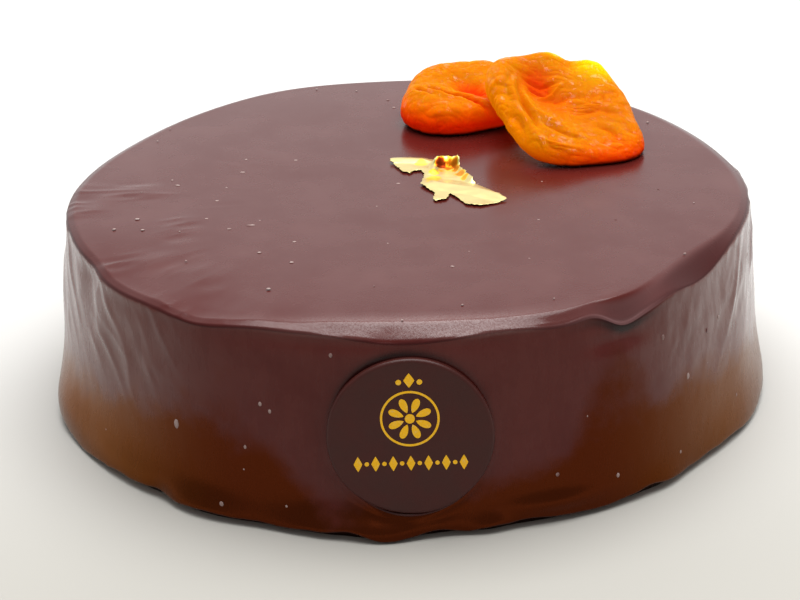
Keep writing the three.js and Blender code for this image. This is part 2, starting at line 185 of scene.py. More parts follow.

# ---- The dried apricots' form ------------------------------------------------------------------

# Each is made flat about its own middle, then tilted back and to the left by its tilts and set at its
# middle, a share of the way across its box. Radii and rim thicknesses are evenly spaced round it from
# +X. Humps: x, y, azimuth, length, width, how far out. Folds: path, half-width, how far out, and how
# far out the lips beside it. Thin spots, where light comes through: x, y, radius. Foot: the heights
# between which its painted glow fades, a deep red that stands for light coming through the shaded
# foot, and how strong that is. Lit from: the way its light side faces.
LEFT_APRICOT = {
    "node": "apricot_left",
    "radii": [18, 16.5, 16.4, 17, 15.5, 15.5, 19.5, 20, 17.5, 18],
    "thicknesses": [10, 10, 10.5, 11.5],
    "middle_thickness": 8.4,
    "humps": [
        (-2, 7, 0, 9, 5, 1.0),
        (3.4, -4, 125, 7, 3.2, -2.2),
        (9, 12, 150, 7, 4, 1.4),
        (-8, 5, 20, 5, 4, 0.5),
    ],
    "folds": [
        (
            [(-8.5, -4), (-6.1, -5.5), (-3.7, -7.9), (0.4, -10), (2.7, -11.9), (7, -15.5)],
            0.9, -2.4, 0.5,
        ),
        ([(-12.5, -4), (-11.4, -5.2), (-8.2, -9)], 0.8, -1.0, 0.3),
        ([(-11.6, -7), (-8.3, -10.5)], 1.0, 0.6, 0),
        ([(-8, -7), (-4.7, -10)], 1.0, 0.6, 0),
        ([(-12, -18), (-3.7, -17), (4, -15.5), (9, -16)], 1.6, 0.5, 0),
    ],
    "tilts": (5, 0),
    "middle": (0.4813, 0.5341, 0.4154),
    "thin": [(3, 15, 2)],
    "foot": (2.5, 9, 0.95),
    "lit_from": (0.3, 0.2, 0.93),
    "seed": 3,
}
RIGHT_APRICOT = {
    "node": "apricot_right",
    "radii": [19.5, 20.2, 23.8, 24.5, 24.4, 17.9, 17.2, 21, 22, 24.5],
    "thicknesses": [9, 9, 9.5, 9.6, 8.4, 7.2, 6.6, 7],
    "middle_thickness": 6.4,
    "humps": [
        (-7.2, 7.5, 120, 8.5, 4.6, -2.3),
        (8, -2, 0, 9, 8, -0.5),
        (-17.5, 4, 90, 9, 3.5, 1.3),
        (8, 18, 120, 4, 4, 1.5),
        (-5, 21, 0, 4, 3, 0.8),
        (1.5, 20, 0, 3, 4, -1.3),
        (-16, 15, 0, 5, 5, 0.8),
        (-16.5, -4, 60, 2.6, 1.6, 0.6),
        (-17.5, 3.5, 20, 2.6, 1.6, 0.6),
    ],
    "folds": [
        ([(-12.6, 7), (-12.2, 2), (-10.8, -4), (-8.6, -8.6), (-7.6, -12)], 0.8, -1.0, 0.3),
        ([(-14.5, 9), (-16, 3), (-14.5, -3)], 0.8, -0.5, 0.4),
        ([(-15.5, -6), (-12.5, -10), (-11, -14)], 0.9, -0.5, 0.4),
        ([(-11, 10), (-6, 8.4), (-1.5, 10)], 0.6, -0.5, 0.3),
        ([(-9, 6), (-5, 4.5)], 0.6, -0.5, 0.3),
        ([(-11.2, 1.5), (-8.6, -5), (-5.4, -6.8), (-2.2, -8.4), (1.5, -9.5)], 1.3, 0.8, 0),
        ([(-6, -9.5), (-1, -12.5), (3, -14.5)], 0.9, -0.8, 0.3),
        ([(-1.5, -11.5), (1.3, -13), (4.5, -13.4)], 1.0, 0.6, 0),
        ([(-8, -13), (-6.8, -17), (-2, -18.4), (4, -18.6)], 1.1, 0.6, 0),
        ([(-7.6, 1.5), (-3.5, 5), (-1, 9)], 0.8, 0.9, 0),
        ([(-2.5, 2), (1, 4.5), (6, 5)], 0.9, -0.5, 0.2),
        ([(4, -2), (9, 0), (14, -2)], 1.0, -0.4, 0.2),
        ([(8, -7), (12, -9), (14, -13)], 1.0, -0.5, 0.3),
    ],
    "tilts": (15, 10),
    "middle": (0.506, 0.4701, 0.3878),
    "thin": [(9, 18.8, 5.4), (-2.7, 22.5, 2.4)],
    "foot": (0, 6, 0.85),
    "lit_from": (0.55, 0.15, 0.82),
    "seed": 8,
}

# How softly the fruits settle on what is under them, and the gap left there.
SIT_SOFTNESS = 0.6
GAP = 0.1

# ---- The gold leaf's form ----------------------------------------------------------------------

# The flake's outline from above: x, y.
FLAKE_OUTLINE = [
    (-4.2, 16.5), (-2.8, 12.4), (-1.2, 9), (0.8, 7.2), (2, 9), (3.8, 9.2), (4.5, 6.5), (4, 2.5),
    (3.4, -0.8), (5.5, -4.2), (7, -7), (6.4, -9.8), (6.8, -12), (9.4, -11.2), (10.8, -7.4),
    (12.6, -10.8), (14.2, -14.6), (18, -16), (22, -14.6), (24.6, -12.4), (21, -7.6), (17.2, -2),
    (15.6, 2.5), (13.8, 7.5), (13.2, 12), (10.4, 12.8), (8.6, 15.2), (4, 17.9), (0, 18.3),
    (-2.8, 17.5),
]

# Ridges: path, half-width at the foot, height.
FLAKE_FOLDS = [
    ([(8.0, 12.2), (10.6, 12.7), (13.2, 12.0)], 1.9, 2.4),
    ([(13.9, 10.6), (15.4, 5), (16.8, 0)], 1.9, 1.6),
    ([(7.4, 11), (6.6, 7)], 1.6, 0.8),
    ([(7, -1), (16, -5), (23, -10)], 4, 0.6),
    ([(-3.6, 16.2), (4, 15.4)], 2.4, 0.7),
]

# Where painted shade deepens the leaf's colour, beside its folds and in its hollow: x, y, radius, how
# deep.
FLAKE_SHADES = [
    (9.0, 10.9, 1.5, 1.0), (11.0, 10.8, 2.0, 0.74), (12.6, 8.4, 1.1, 0.62), (13.6, 4.8, 1.4, 0.64),
    (14.6, 2.0, 1.1, 0.56), (8.8, 8.2, 0.8, 0.5), (6.4, 2.2, 2.3, 0.4), (7.0, 6.4, 1.4, 0.4),
    (3.9, 13.4, 1.6, 0.34),
]
FLAKE_THICKNESS = 0.06
FLAKE_LIFT = 0.3
TEAR_SPACING = 0.45
TEAR_SIZE = 0.16


# ---- Settings a user would change --------------------------------------------------------------


def colour(name, description, value):
    """A colour that a user can change."""
    return bpy.props.FloatVectorProperty(
        name=name, description=description, default=value, subtype="COLOR", size=3, min=0, max=1
    )


def number(name, description, value, **limits):
    """A number that a user can change."""
    return bpy.props.FloatProperty(name=name, description=description, default=value, **limits)


class GlazeSettings(bpy.types.PropertyGroup):
    """The chocolate glaze and what is set in it."""

    dark: colour("Glaze", "The glaze's own colour", (0.076, 0.0085, 0.0066))
    light: colour("Glaze, thin", "Its colour where it is thinner", (0.094, 0.0130, 0.0095))
    # The low colours are a painted warm brown reflection, as of a gold board under the cake: low on the
    # side, and paler low at the left and right.
    low: colour("Glaze, low", "Its colour low on the side", (0.084, 0.0155, 0.0040))
    low_side_reflection: colour("Glaze, low, beside", "Its colour low at the sides", (0.155, 0.045, 0.002))
    # Painted reflection: the side paler high at the left and right.
    side_reflection: colour("Glaze, beside", "Its colour high at the sides", (0.190, 0.080, 0.064))
    # Painted highlight on the rim's front.
    lit_rim: colour("Glaze, lit rim", "Its colour on the rim's front", (0.230, 0.100, 0.090))
    # Painted sheen on the lip that hangs at the rim's right.
    lip: colour("Glaze, lip", "Its colour on the lip at the right", (0.150, 0.072, 0.072))
    # Painted shade: dark in the gap above the disc and under the lip at the right.
    gap: colour("Gap", "The colour in the gap above the disc", (0.012, 0.002, 0.002))
    # Painted shade where the glaze turns over the rim.
    turned: colour("Glaze, rim", "Its colour where it turns over the rim", (0.050, 0.0085, 0.0080))
    disc: colour("Disc", "The chocolate disc's colour", (0.050, 0.0125, 0.0100))
    speck: colour("Specks", "The small bubbles and crumbs in the glaze", (0.34, 0.24, 0.22))
    roughness: number("Roughness", "How satin the glaze is", 0.27, min=0.05, max=1)
    ridges: number("Flow ridges", "Height of the ridges down the side, in mm", 0.42, min=0, max=1)
    specks: bpy.props.IntProperty(
        name="Specks", description="Number of specks besides the large ones", default=90, min=0
    )


class FruitSettings(bpy.types.PropertyGroup):
    """The dried apricots."""

    flesh: colour("Flesh", "The apricots' colour", (0.53, 0.150, 0.0))
    # Redder and darker in the hollows as painted shade, and in random patches.
    deep: colour("Deep flesh", "Their colour in hollows and low down", (0.54, 0.030, 0.0))
    # Painted glow: bright red where light comes through the shaded foot.
    low: colour("Low flesh", "Their colour near the cake", (0.85, 0.012, 0.0))
    glow: colour("Glow", "Light that comes through the flesh", (0.035, 0.008, 0.0))
    glow_shaded: colour("Glow, shaded", "Light that comes through in shade", (0.42, 0.10, 0.0))
    glow_low: colour("Glow, low", "Light that comes through low down", (0.17, 0.0, 0.0))
    thin: colour("Thin flesh", "Their colour where light comes through", (0.85, 0.62, 0.0))
    # Painted contact shadow where they touch the glaze.
    contact_shadow: colour("Contact", "Their colour where they touch the glaze", (0.040, 0.003, 0.0))
    wrinkles: number("Wrinkles", "Height of the small wrinkles, in mm", 0.21, min=0, max=1)


class GoldSettings(bpy.types.PropertyGroup):
    """The gold leaf and the gilding on the disc."""

    leaf: colour("Leaf", "The gold leaf's colour", (0.73, 0.61, 0.27))
    # Painted shade on the leaf: yellower, then orange, then brown as it deepens.
    leaf_yellow_shade: colour("Leaf, yellow", "Its colour where it slopes away", (0.92, 0.72, 0.05))
    leaf_orange_shade: colour("Leaf, doubled", "Its colour where it lies doubled", (0.75, 0.20, 0.008))
    leaf_brown_shade: colour("Leaf, deep", "Its colour in its hollow", (0.22, 0.025, 0.004))
    print_colour: colour("Gilding", "The gilding's colour", (1.0, 0.53, 0.012))
    roughness: number("Leaf roughness", "How bright the leaf is", 0.36, min=0.02, max=1)


class StudioSettings(bpy.types.PropertyGroup):
    """The camera, the lights and the floor."""

    distance: number("Camera distance", "From the cake's middle", 0.5681, min=0.1, unit="LENGTH")
    elevation: number(
        "Camera elevation", "Above the horizon", np.radians(23.714), subtype="ANGLE", unit="ROTATION"
    )
    lens: number("Lens", "Focal length on a 36 mm wide sensor, in mm", 99.86, min=10)
    floor: colour("Floor", "The floor's colour", (0.70, 0.695, 0.68))
    # Painted shade: the floor darker in front of the cake.
    floor_front_shade: colour("Floor in front", "Its colour in front of the cake", (0.44, 0.425, 0.385))
    top_light: number("Top light", "Power of the soft box overhead, in watts", 14.5, min=0)
    room_light: number("Room light", "Brightness of the white room", 1.25, min=0)


# ---- Meshes ------------------------------------------------------------------------------------


def make_mesh(name, points, faces, material, smooth=True):
    """A mesh piece from points in millimetres, riding on the cake."""
    mesh = bpy.data.meshes.new(name)
    mesh.from_pydata(np.asarray(points, float) * MM, [], faces)
    mesh.validate()
    mesh.polygons.foreach_set("use_smooth", [smooth] * len(mesh.polygons))
    mesh.materials.append(material)
    piece = bpy.data.objects.new(name, mesh)
    bpy.context.scene.collection.objects.link(piece)
    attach(piece, "root")
    return piece


def keep_values(piece, name, values):
    """Keeps a number on each of a piece's points, for its material to read."""
    piece.data.attributes.new(name, "FLOAT", "POINT").data.foreach_set("value", values)


def closed_rings(bottom, rings, top):
    """Points and faces of a closed body from rings stacked from a bottom to a top pole."""
    count, around = rings.shape[:2]
    points = np.vstack([bottom, rings.reshape(-1, 3), top])
    here = np.arange(around)
    there = (here + 1) % around
    faces = [(0, 1 + b, 1 + a) for a, b in zip(here, there)]
    for ring in range(count - 1):
        low, high = 1 + ring * around, 1 + (ring + 1) * around
        faces += np.stack([low + here, low + there, high + there, high + here], 1).tolist()
    last, start = len(points) - 1, 1 + (count - 1) * around
    faces += [(last, start + a, start + b) for a, b in zip(here, there)]
    return points, faces


def polar(radius, azimuth):
    """x and y at this far from the middle, towards an azimuth."""
    return radius * np.cos(np.radians(azimuth)), radius * np.sin(np.radians(azimuth))


def turn_between(a, b):
    """The turn from one azimuth to another, between -180 and 180 degrees."""
    return (a - b + 180) % 360 - 180


def hump(distance, width):
    """A rounded hump: 1 in its middle, and near 0 from twice its half-width on."""
    return np.exp(-((distance / width) ** 2))


def nearness(azimuth, at, width):
    """How near an azimuth is to another, from 0 to 1."""
    return hump(turn_between(azimuth, at), width)


def smoothstep(value, low, high):
    """0 below low, 1 above high and smooth between them."""
    t = np.clip((value - low) / (high - low), 0, 1)
    return t * t * (3 - 2 * t)


def waves(rows, azimuth):
    """Waves round the cake, from rows of crests, size and the azimuth of one crest."""
    return sum(size * np.cos(np.radians(crests * (azimuth - at))) for crests, size, at in rows)


def bumps(rows, azimuth):
    """Humps round the cake, from rows of azimuth, half-width and size."""
    return sum(size * nearness(azimuth, at, width) for at, width, size in rows)


def random_relief(points, seed):
    """Smooth random relief between -1 and 1, one cell to each unit of the points."""
    cells = 64
    table = np.random.default_rng(seed).uniform(-1, 1, (cells, cells, cells))
    whole = np.floor(points).astype(int)
    part = points - whole
    part = part * part * (3 - 2 * part)
    total = 0
    for corner in np.ndindex(2, 2, 2):
        share = np.prod(np.where(corner, part, 1 - part), axis=-1)
        place = (whole + corner) % cells
        total = total + share * table[place[..., 0], place[..., 1], place[..., 2]]
    return total


def ridged(value, sharpness):
    """Turns relief between -1 and 1 into narrow ridges between 0 and 1."""
    return (1 - np.abs(value)) ** sharpness


def stack(*parts):
    """Points from their x, y and z."""
    return np.stack(np.broadcast_arrays(*parts), -1)


# ---- The glazed cake ---------------------------------------------------------------------------


def side_radius(azimuth, height):
    """How far out the side stands, without the runs of its glaze."""
    lean = LEAN_IN * (1 - height / CAKE_HEIGHT)
    folds = sum(
        out * nearness(azimuth, at, width) * hump(height - level, spread)
        for at, width, level, spread, out in FOLDS
    )
    return SHOULDER_RADIUS + lean + waves(OUTLINE_WAVES, azimuth) + folds


def rim_profile(azimuth, steps):
    """The rim's rows from the side up to the top: how far in, how far up, and how steep."""
    droop, slope = RIM_DROOP, RIM_SLOPE
    for at, width, further, steeper in SOFT_RIM:
        near = nearness(azimuth, at, width)
        droop, slope = droop + further * near, slope + steeper * near
    upright = 90 - np.degrees(SIDE_LEAN)
    ease_from, ease_to = 1.35 + bumps(LONG_SLOPE, azimuth), 2
    inward, up, tilts = [0 * azimuth], [0 * azimuth], [0 * azimuth]
    for step in range(2 * steps):
        share = (step + 0.5) / steps
        if step < steps:
            tilt = upright + (slope - upright) * smoothstep(share, 0, 1)
            length = RIM_CORNER * np.radians(upright - slope) / steps
        else:
            tilt = slope * (1 - smoothstep(share, ease_from, ease_to))
            length = droop / steps
        inward.append(inward[-1] + length * np.cos(np.radians(tilt)))
        up.append(up[-1] + length * np.sin(np.radians(tilt)))
        tilts.append(tilt)
    return inward, up, tilts


def flow_strength(azimuth, height):
    """Where the glaze has run in ridges: at the left and right, more so high up, from 0 to 1."""
    at_side = smoothstep(np.abs(np.cos(np.radians(azimuth))), 0.42, 0.94)
    return (0.06 + 0.94 * at_side) * (0.06 + 0.94 * smoothstep(height, 16, 38))


def side_relief(azimuth, height, ridges):
    """How far the side stands out: ridges that lean forward as they run down, and broad waves."""
    slant = 0.55
    run = np.radians(azimuth + slant * np.cos(np.radians(azimuth)) * (CAKE_HEIGHT - height))
    x, y = SHOULDER_RADIUS * np.cos(run), SHOULDER_RADIUS * np.sin(run)
    broad = random_relief(stack(x / 26, y / 26, height / 22), 21)
    sway = 1.6 * random_relief(stack(x / 9, y / 9, height / 11), 26)
    coarse = ridged(random_relief(stack((x + sway) / 7, (y - sway) / 7, height / 21), 22), 1.7)
    fine = ridged(random_relief(stack((x + sway) / 3.4, (y - sway) / 3.4, height / 10), 23), 2)
    patches = random_relief(stack(x / 10, y / 10, height / 13), 25)
    uneven = 0.5 + 0.8 * smoothstep(patches, -0.4, 0.5)
    grain = random_relief(stack(x / 3.1, y / 3.1, height / 4.5), 24)
    flow = ridges * flow_strength(azimuth, height) * uneven * (1.2 * coarse + 0.6 * fine)
    return flow + 0.2 * broad + 0.02 * grain


def brown_reflection_share(azimuth, height):
    """How much painted brown reflection the side has, from 0 to 1."""
    edge = BROWN_REFLECTION_BELOW + bumps(BROWN_REFLECTION_RISES, azimuth)
    faded = smoothstep(height, edge - BROWN_REFLECTION_FADE, edge + BROWN_REFLECTION_FADE)
    return (1 - faded) * (1 - 0.3 * smoothstep(height, 10, 26))


def from_disc(azimuth, height):
    """Places on the side seen from the disc's middle: across, up and away from the disc's edge."""
    across = np.radians(turn_between(azimuth, 270)) * FOOT_RADIUS - DISC_MIDDLE[0]
    up = height - DISC_MIDDLE[2]
    return across, up, np.hypot(across, up) - DISC_RADIUS


def disc_ring(azimuth, height):
    """The glaze pushed up in a ring round the disc, most so below it."""
    _, up, away = from_disc(azimuth, height)
    shared = 0.35 - 0.45 * np.clip(up / DISC_RADIUS, -1, 1)
    return shared * hump(away - 0.7, 1.0)


def disc_gap_shade(azimuth, height):
    """Painted shade for a dark gap between the disc and the glaze, over the disc's upper half."""
    across, up, away = from_disc(azimuth, height)
    upper = nearness(np.degrees(np.arctan2(up, across)), 105, 62)
    return upper * hump(away - 0.2, 0.9)


def top_relief(x, y):
    """The top's faint waves, and short wrinkles towards the left."""
    broad = random_relief(stack(x / 24, y / 24, 0.5), 31)
    fine = random_relief(stack(x / 7, y / 7, 0.5), 32)
    wrinkle = ridged(random_relief(stack(x / 5 + y / 30, y / 3.4, 0.5), 33), 2)
    patchy = smoothstep(random_relief(stack(x / 11, y / 11, 0.5), 34), -0.1, 0.4)
    left = smoothstep(-x, 26, 62) * smoothstep(34 - y, 0, 30) * patchy
    return 0.07 * broad + 0.018 * fine + 0.45 * left * (wrinkle - 0.4)


def rim_relief(azimuth, share):
    """Small unevenness of the rim, strongest at its corner and gone where the top begins."""
    x, y = polar(SHOULDER_RADIUS, azimuth)
    wave = random_relief(stack(x / 6, y / 6, share * 2), 36)
    fine = random_relief(stack(x / 1.6, y / 1.6, share * 6), 37)
    front = nearness(azimuth, 270, 24)
    return 0.2 * front * (wave + 0.25 * fine) * np.sin(np.pi * share)


def hem_height(azimuth):
    """How high the hem lies above the underside."""
    x, y = polar(30, azimuth)
    ragged = 0.22 * random_relief(stack(x, y, 0.5), 35)
    hem = FOOT_LIFT + waves(HEM_WAVES, azimuth) + bumps(HEM_BUMPS, azimuth)
    return np.maximum(hem + ragged, LEAST_HEM)


def foot_rows(azimuth, hem):
    """Rows of radius and height from the underside, up its undercut and round the hem's edge."""
    foot = side_radius(azimuth, hem + HEM_ROUNDING)
    rows = [
        (foot - FOOT_UNDERCUT - 0.3, 0 * hem),
        (foot - FOOT_UNDERCUT, 0.5 * hem),
        (foot - FOOT_UNDERCUT + 0.4, 0.95 * hem),
    ]
    for bend in np.radians(np.linspace(-110, 0, 8)):
        radius = foot - HEM_ROUNDING + HEM_ROUNDING * np.cos(bend)
        rows.append((radius, hem + HEM_ROUNDING + HEM_ROUNDING * np.sin(bend)))
    return rows


def side_rows(azimuth, low, high, ridges):
    """Rows of radius and height up the side, between two heights."""
    rows = []
    for step in range(1, SIDE_STEPS + 1):
        height = low + (high - low) * step / (SIDE_STEPS + 1)
        relief = side_relief(azimuth, height, ridges) + disc_ring(azimuth, height)
        ease = smoothstep(height, low, low + 3)
        rows.append((side_radius(azimuth, height) + relief * ease, height))
    return rows


def rim_rows(azimuth, high, rim_top, rim_in, rim_up, ridges):
    """Rows of radius and height over the rim, from the side's height to the top's."""
    shoulder = side_radius(azimuth, high)
    edge = side_relief(azimuth, high, ridges)
    rows = []
    for step, (inward, up) in enumerate(zip(rim_in, rim_up)):
        share = step / (2 * RIM_STEPS)
        up = up + (rim_top - high - rim_up[-1]) * smoothstep(share, 0.35, 1)
        radius = shoulder - inward
        rise = top_relief(*polar(radius, azimuth)) * share
        rows.append((radius + edge * (1 - share) ** 8, high + up + rise + rim_relief(azimuth, share)))
    return rows


def top_rows(azimuth, inner, slump):
    """Rows of radius and height over the top, from the rim towards the middle."""
    rows = []
    for step in range(1, TOP_STEPS):
        radius = inner * (1 - step / TOP_STEPS) ** 0.8
        fall = RIM_SAG * (radius / inner) ** 6 + slump * (radius / inner) ** 8
        rows.append((radius, CAKE_HEIGHT - fall + top_relief(*polar(radius, azimuth))))
    return rows


def by_rows(count, start, values):
    """A value for each of the cake's points: these from a start row on, and 0 on the others."""
    table = np.zeros((count, AROUND))
    table[start : start + len(values)] = values
    return np.concatenate([[0], table.ravel(), [0]])


def glazed_cake(settings):
    """The cake under its glaze, in rows from the underside to the middle of the top."""
    azimuth = np.arange(AROUND) * 360 / AROUND
    hem = hem_height(azimuth)
    rim_in, rim_up, tilts = rim_profile(azimuth, RIM_STEPS)
    slump = bumps(TOP_SLUMPS, azimuth)
    rim_top = CAKE_HEIGHT - RIM_SAG - slump
    high = rim_top - rim_up[-1] - bumps(RIM_DIPS, azimuth)
    rows = foot_rows(azimuth, hem)
    rows += side_rows(azimuth, hem + HEM_ROUNDING, high, settings.ridges)
    rim_start = len(rows)
    rows += rim_rows(azimuth, high, rim_top, rim_in, rim_up, settings.ridges)
    rows += top_rows(azimuth, side_radius(azimuth, high) - rim_in[-1], slump)
    rings = np.array([stack(*polar(radius, azimuth), height) for radius, height in rows])
    middle = CAKE_HEIGHT + top_relief(np.zeros(1), np.zeros(1))[0]
    points, faces = closed_rings([0, 0, 0], rings, [0, 0, middle])
    piece = make_mesh("glazed_cake", points, faces, glaze_material(settings))
    keep_glaze_values(piece, points, azimuth, len(rows), rim_start, np.array(tilts))
    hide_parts("cake")


def keep_glaze_values(piece, points, azimuth, count, rim_start, tilts):
    """Keeps what the glaze's material reads: the side, its runs and its painted brown reflection, and
    the rim's parts with their painted highlight, sheen and shade.
    """
    azimuths, heights = np.degrees(np.arctan2(points[:, 1], points[:, 0])), points[:, 2]
    on_side = by_rows(count, 0, np.array([1] * rim_start + [0.9, 0.7, 0.4, 0.15])[:, None])
    on_side[0] = 1
    keep_values(piece, "side", on_side)
    keep_values(piece, "flow", flow_strength(azimuths, heights) * on_side)
    keep_values(piece, "brown", brown_reflection_share(azimuths, heights) * on_side)
    # The rim's front, where a highlight is painted and the coat and its sparkle are stronger.
    rim = by_rows(count, rim_start, np.array([1] * len(tilts) + [0.3])[:, None])
    front = nearness(azimuths, *BRIGHT_RIM) * smoothstep(heights, 46.4, 47.6)
    keep_values(piece, "rim", front * rim)
    # Painted shade under the lip at the right, kept with the painted shade above the disc.
    shade = np.array([0.4, 0.9, 1, 1, 0.5])[:, None] * nearness(azimuth, *UNDER_LIP_SHADE)
    under_lip_shade = by_rows(count, rim_start - 3, shade)
    keep_values(piece, "gap", np.maximum(disc_gap_shade(azimuths, heights), under_lip_shade))
    # Painted sheen on the lip at the right, where the rim turns.
    lip = smoothstep(tilts, 8, 36) * nearness(azimuth, *LIP_SHEEN)
    keep_values(piece, "lip", by_rows(count, rim_start, lip))
    # Painted shade where the rim turns away from the light, less where it catches light.
    lit = bumps(LIT_RIM, azimuth)
    turned = smoothstep(tilts, 6 + 1.6 * lit, 40 + lit)
    keep_values(piece, "turned", by_rows(count, rim_start, turned))


# ---- The specks in the glaze -------------------------------------------------------------------

# The large specks: azimuth and height on the side, or x and y on top, and length and width.
SIDE_SPECKS = [
    (232, 20, 2.6, 1.5), (247, 30, 1.2, 0.9), (248.5, 28.5, 1.1, 0.8), (244.5, 19, 1.1, 0.8),
    (241, 4.5, 1.5, 1.2), (311, 37, 1.5, 1.0), (323, 32, 1.4, 0.9), (327, 33, 1.3, 0.9),
    (317, 24, 1.8, 1.0), (342, 40, 1.5, 0.9), (301, 8, 1.3, 0.9), (258, 43, 1.2, 0.9),
]
TOP_SPECKS = [
    (-38, -24, 2.4, 1.0), (-43, -26, 1.2, 0.9), (-42, 12, 1.5, 0.8), (-58, 4, 1.4, 0.8),
    (-66, -18, 1.3, 1.0), (-71, -24, 1.0, 0.8), (-64, -25, 1.0, 0.8), (-49, -19, 0.9, 0.7),
    (-35, -41, 1.1, 0.9), (-27, -35, 1.0, 0.8), (10, -52, 1.0, 0.8),
]
SPECK_BULGE = 0.2
SPECK_SUNK = 0.03
SPECKS_ON_TOP = 0.55
SPECKS_KEEP_OFF_EDGE = 6


def speck(place, outward, along, length, width):
    """A low dome on the glaze: its points and faces."""
    across = np.cross(outward, along)
    bulge = SPECK_BULGE * width
    turns = np.radians(np.arange(10) * 36)[:, None]
    flat = along * length / 2 * np.cos(turns) + across * width / 2 * np.sin(turns)
    rings = [
        place + flat * np.cos(bend) + outward * (bulge * np.sin(bend) - SPECK_SUNK)
        for bend in np.radians([0, 35, 65])
    ]
    bottom, top = place - outward * 0.1, place + outward * (bulge - SPECK_SUNK)
    return closed_rings(bottom, np.array(rings), top)


def glaze_specks(settings):
    """Small bubbles and crumbs caught in the glaze, joined in one piece."""
    rng = np.random.default_rng(5)
    points, faces = [], []
    sides, tops = list(SIDE_SPECKS), list(TOP_SPECKS)
    lowest, highest = SPECKS_KEEP_OFF_EDGE, CAKE_HEIGHT - SPECKS_KEEP_OFF_EDGE
    furthest = -CAKE_LOW[0] * 0.9
    for _ in range(settings.specks):
        length = 0.5 + 0.7 * rng.random() ** 3
        width = length * rng.uniform(0.6, 0.95)
        if rng.random() < SPECKS_ON_TOP:
            reach, at = furthest * np.sqrt(rng.random()), rng.uniform(0, 2 * np.pi)
            tops.append((reach * np.cos(at), reach * np.sin(at), length, width))
        else:
            sides.append((rng.uniform(0, 360), rng.uniform(lowest, highest), length, width))
    for at, height, length, width in sides:
        out = np.array([np.cos(np.radians(at)), np.sin(np.radians(at)), np.tan(SIDE_LEAN)])
        relief = side_relief(np.array(at), np.array(height), settings.ridges)
        radius = side_radius(at, height) + relief
        place = np.array([radius * out[0], radius * out[1], height])
        down = np.array([0, 0, -1.0])
        add_body(points, faces, speck(place, out / np.linalg.norm(out), down, length, width))
    for x, y, length, width in tops:
        turn = rng.uniform(-0.5, 0.5)
        place = np.array([x, y, CAKE_HEIGHT + top_relief(np.array(x), np.array(y))])
        along = np.array([np.cos(turn), np.sin(turn), 0])
        add_body(points, faces, speck(place, np.array([0, 0, 1.0]), along, length, width))
    make_mesh("glaze_specks", np.vstack(points), faces, speck_material(settings))


def add_body(points, faces, body):
    """Adds one body's points and faces to lists that hold several."""
    start = sum(len(part) for part in points)
    points.append(body[0])
    faces.extend(tuple(start + corner for corner in face) for face in body[1])


# ---- The chocolate disc ------------------------------------------------------------------------


def on_disc(points):
    """Points made flat, with x to the right, y up and z out of the face, set onto the disc."""
    lean = np.array(Matrix.Rotation(np.pi / 2 - SIDE_LEAN, 3, "X"))
    outward = lean @ np.array([0, 0, 1.0])
    return points @ lean.T + (DISC_MIDDLE + outward * DISC_THICKNESS / 2)


def chocolate_disc(settings):
    """The disc: a flat back, a rounded edge and a flat face."""
    around = 240
    edge = 0.8
    turn = np.radians(np.arange(around) * 360 / around)
    rows = [(DISC_RADIUS * 0.5, -DISC_THICKNESS), (DISC_RADIUS - edge, -DISC_THICKNESS)]
    rows += [
        (DISC_RADIUS - edge + edge * np.cos(bend), -DISC_THICKNESS + edge + edge * np.sin(bend))
        for bend in np.radians([-60, -30, 0])
    ]
    rows += [
        (DISC_RADIUS - edge + edge * np.cos(bend), -edge + edge * np.sin(bend))
        for bend in np.radians(np.linspace(0, 90, 7))
    ]
    rows += [(DISC_RADIUS * share, 0) for share in (0.94, 0.9, 0.7, 0.5, 0.3, 0.1)]
    uneven = 1 + 0.004 * np.cos(2 * turn + 1) + 0.003 * np.cos(5 * turn)
    rings = np.array(
        [stack(r * uneven * np.cos(turn), r * uneven * np.sin(turn), z) for r, z in rows]
    )
    points, faces = closed_rings([0, 0, -DISC_THICKNESS], rings, [0, 0, 0])
    material = disc_material(settings)
    piece = make_mesh("chocolate_disc_face", on_disc(points), faces, material)
    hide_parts("chocolate_disc")


def glaze_lip(settings):
    """The thin lip of glaze pressed up round the disc's lower half."""
    turns = np.radians(np.linspace(*LIP_ENDS, LIP_STEPS))
    reach = DISC_RADIUS + LIP_GAP
    across, up = DISC_MIDDLE[0] + reach * np.cos(turns), DISC_MIDDLE[2] + reach * np.sin(turns)
    azimuth = 270 + np.degrees(across / FOOT_RADIUS)
    relief = side_relief(azimuth, up, settings.ridges) + disc_ring(azimuth, up)
    radius = side_radius(azimuth, up) + relief
    middles = stack(*polar(radius, azimuth), up)
    bends = np.radians(np.arange(10) * 36)[:, None]
    rings = []
    for i, middle in enumerate(middles):
        ahead = middles[min(i + 1, LIP_STEPS - 1)] - middles[max(i - 1, 0)]
        outward = middle * [1, 1, 0] / radius[i]
        sideways = np.cross(ahead / np.linalg.norm(ahead), outward)
        size = LIP_SIZE * np.sqrt(np.sin(np.pi * (0.02 + 0.96 * i / (LIP_STEPS - 1))))
        rings.append(middle + size * (np.cos(bends) * sideways + np.sin(bends) * outward))
    points, faces = closed_rings(middles[0], np.array(rings), middles[-1])
    make_mesh("glaze_lip", points, faces, disc_material(settings))


# ---- The gilding on the disc -------------------------------------------------------------------

PRINT_HEIGHT = 0.07
PRINT_SUNK = 0.05


def lozenge(x, y, width, height, bulge):
    """A lozenge's outline, its sides bowed out by a share of its size."""
    points = []
    for corner in range(4):
        for step in range(6):
            t = (corner + step / 6) * np.pi / 2
            share = 1 / (abs(np.cos(t)) + abs(np.sin(t)))
            share = share * (1 - bulge) + bulge
            points.append((x + width / 2 * share * np.cos(t), y + height / 2 * share * np.sin(t)))
    return points


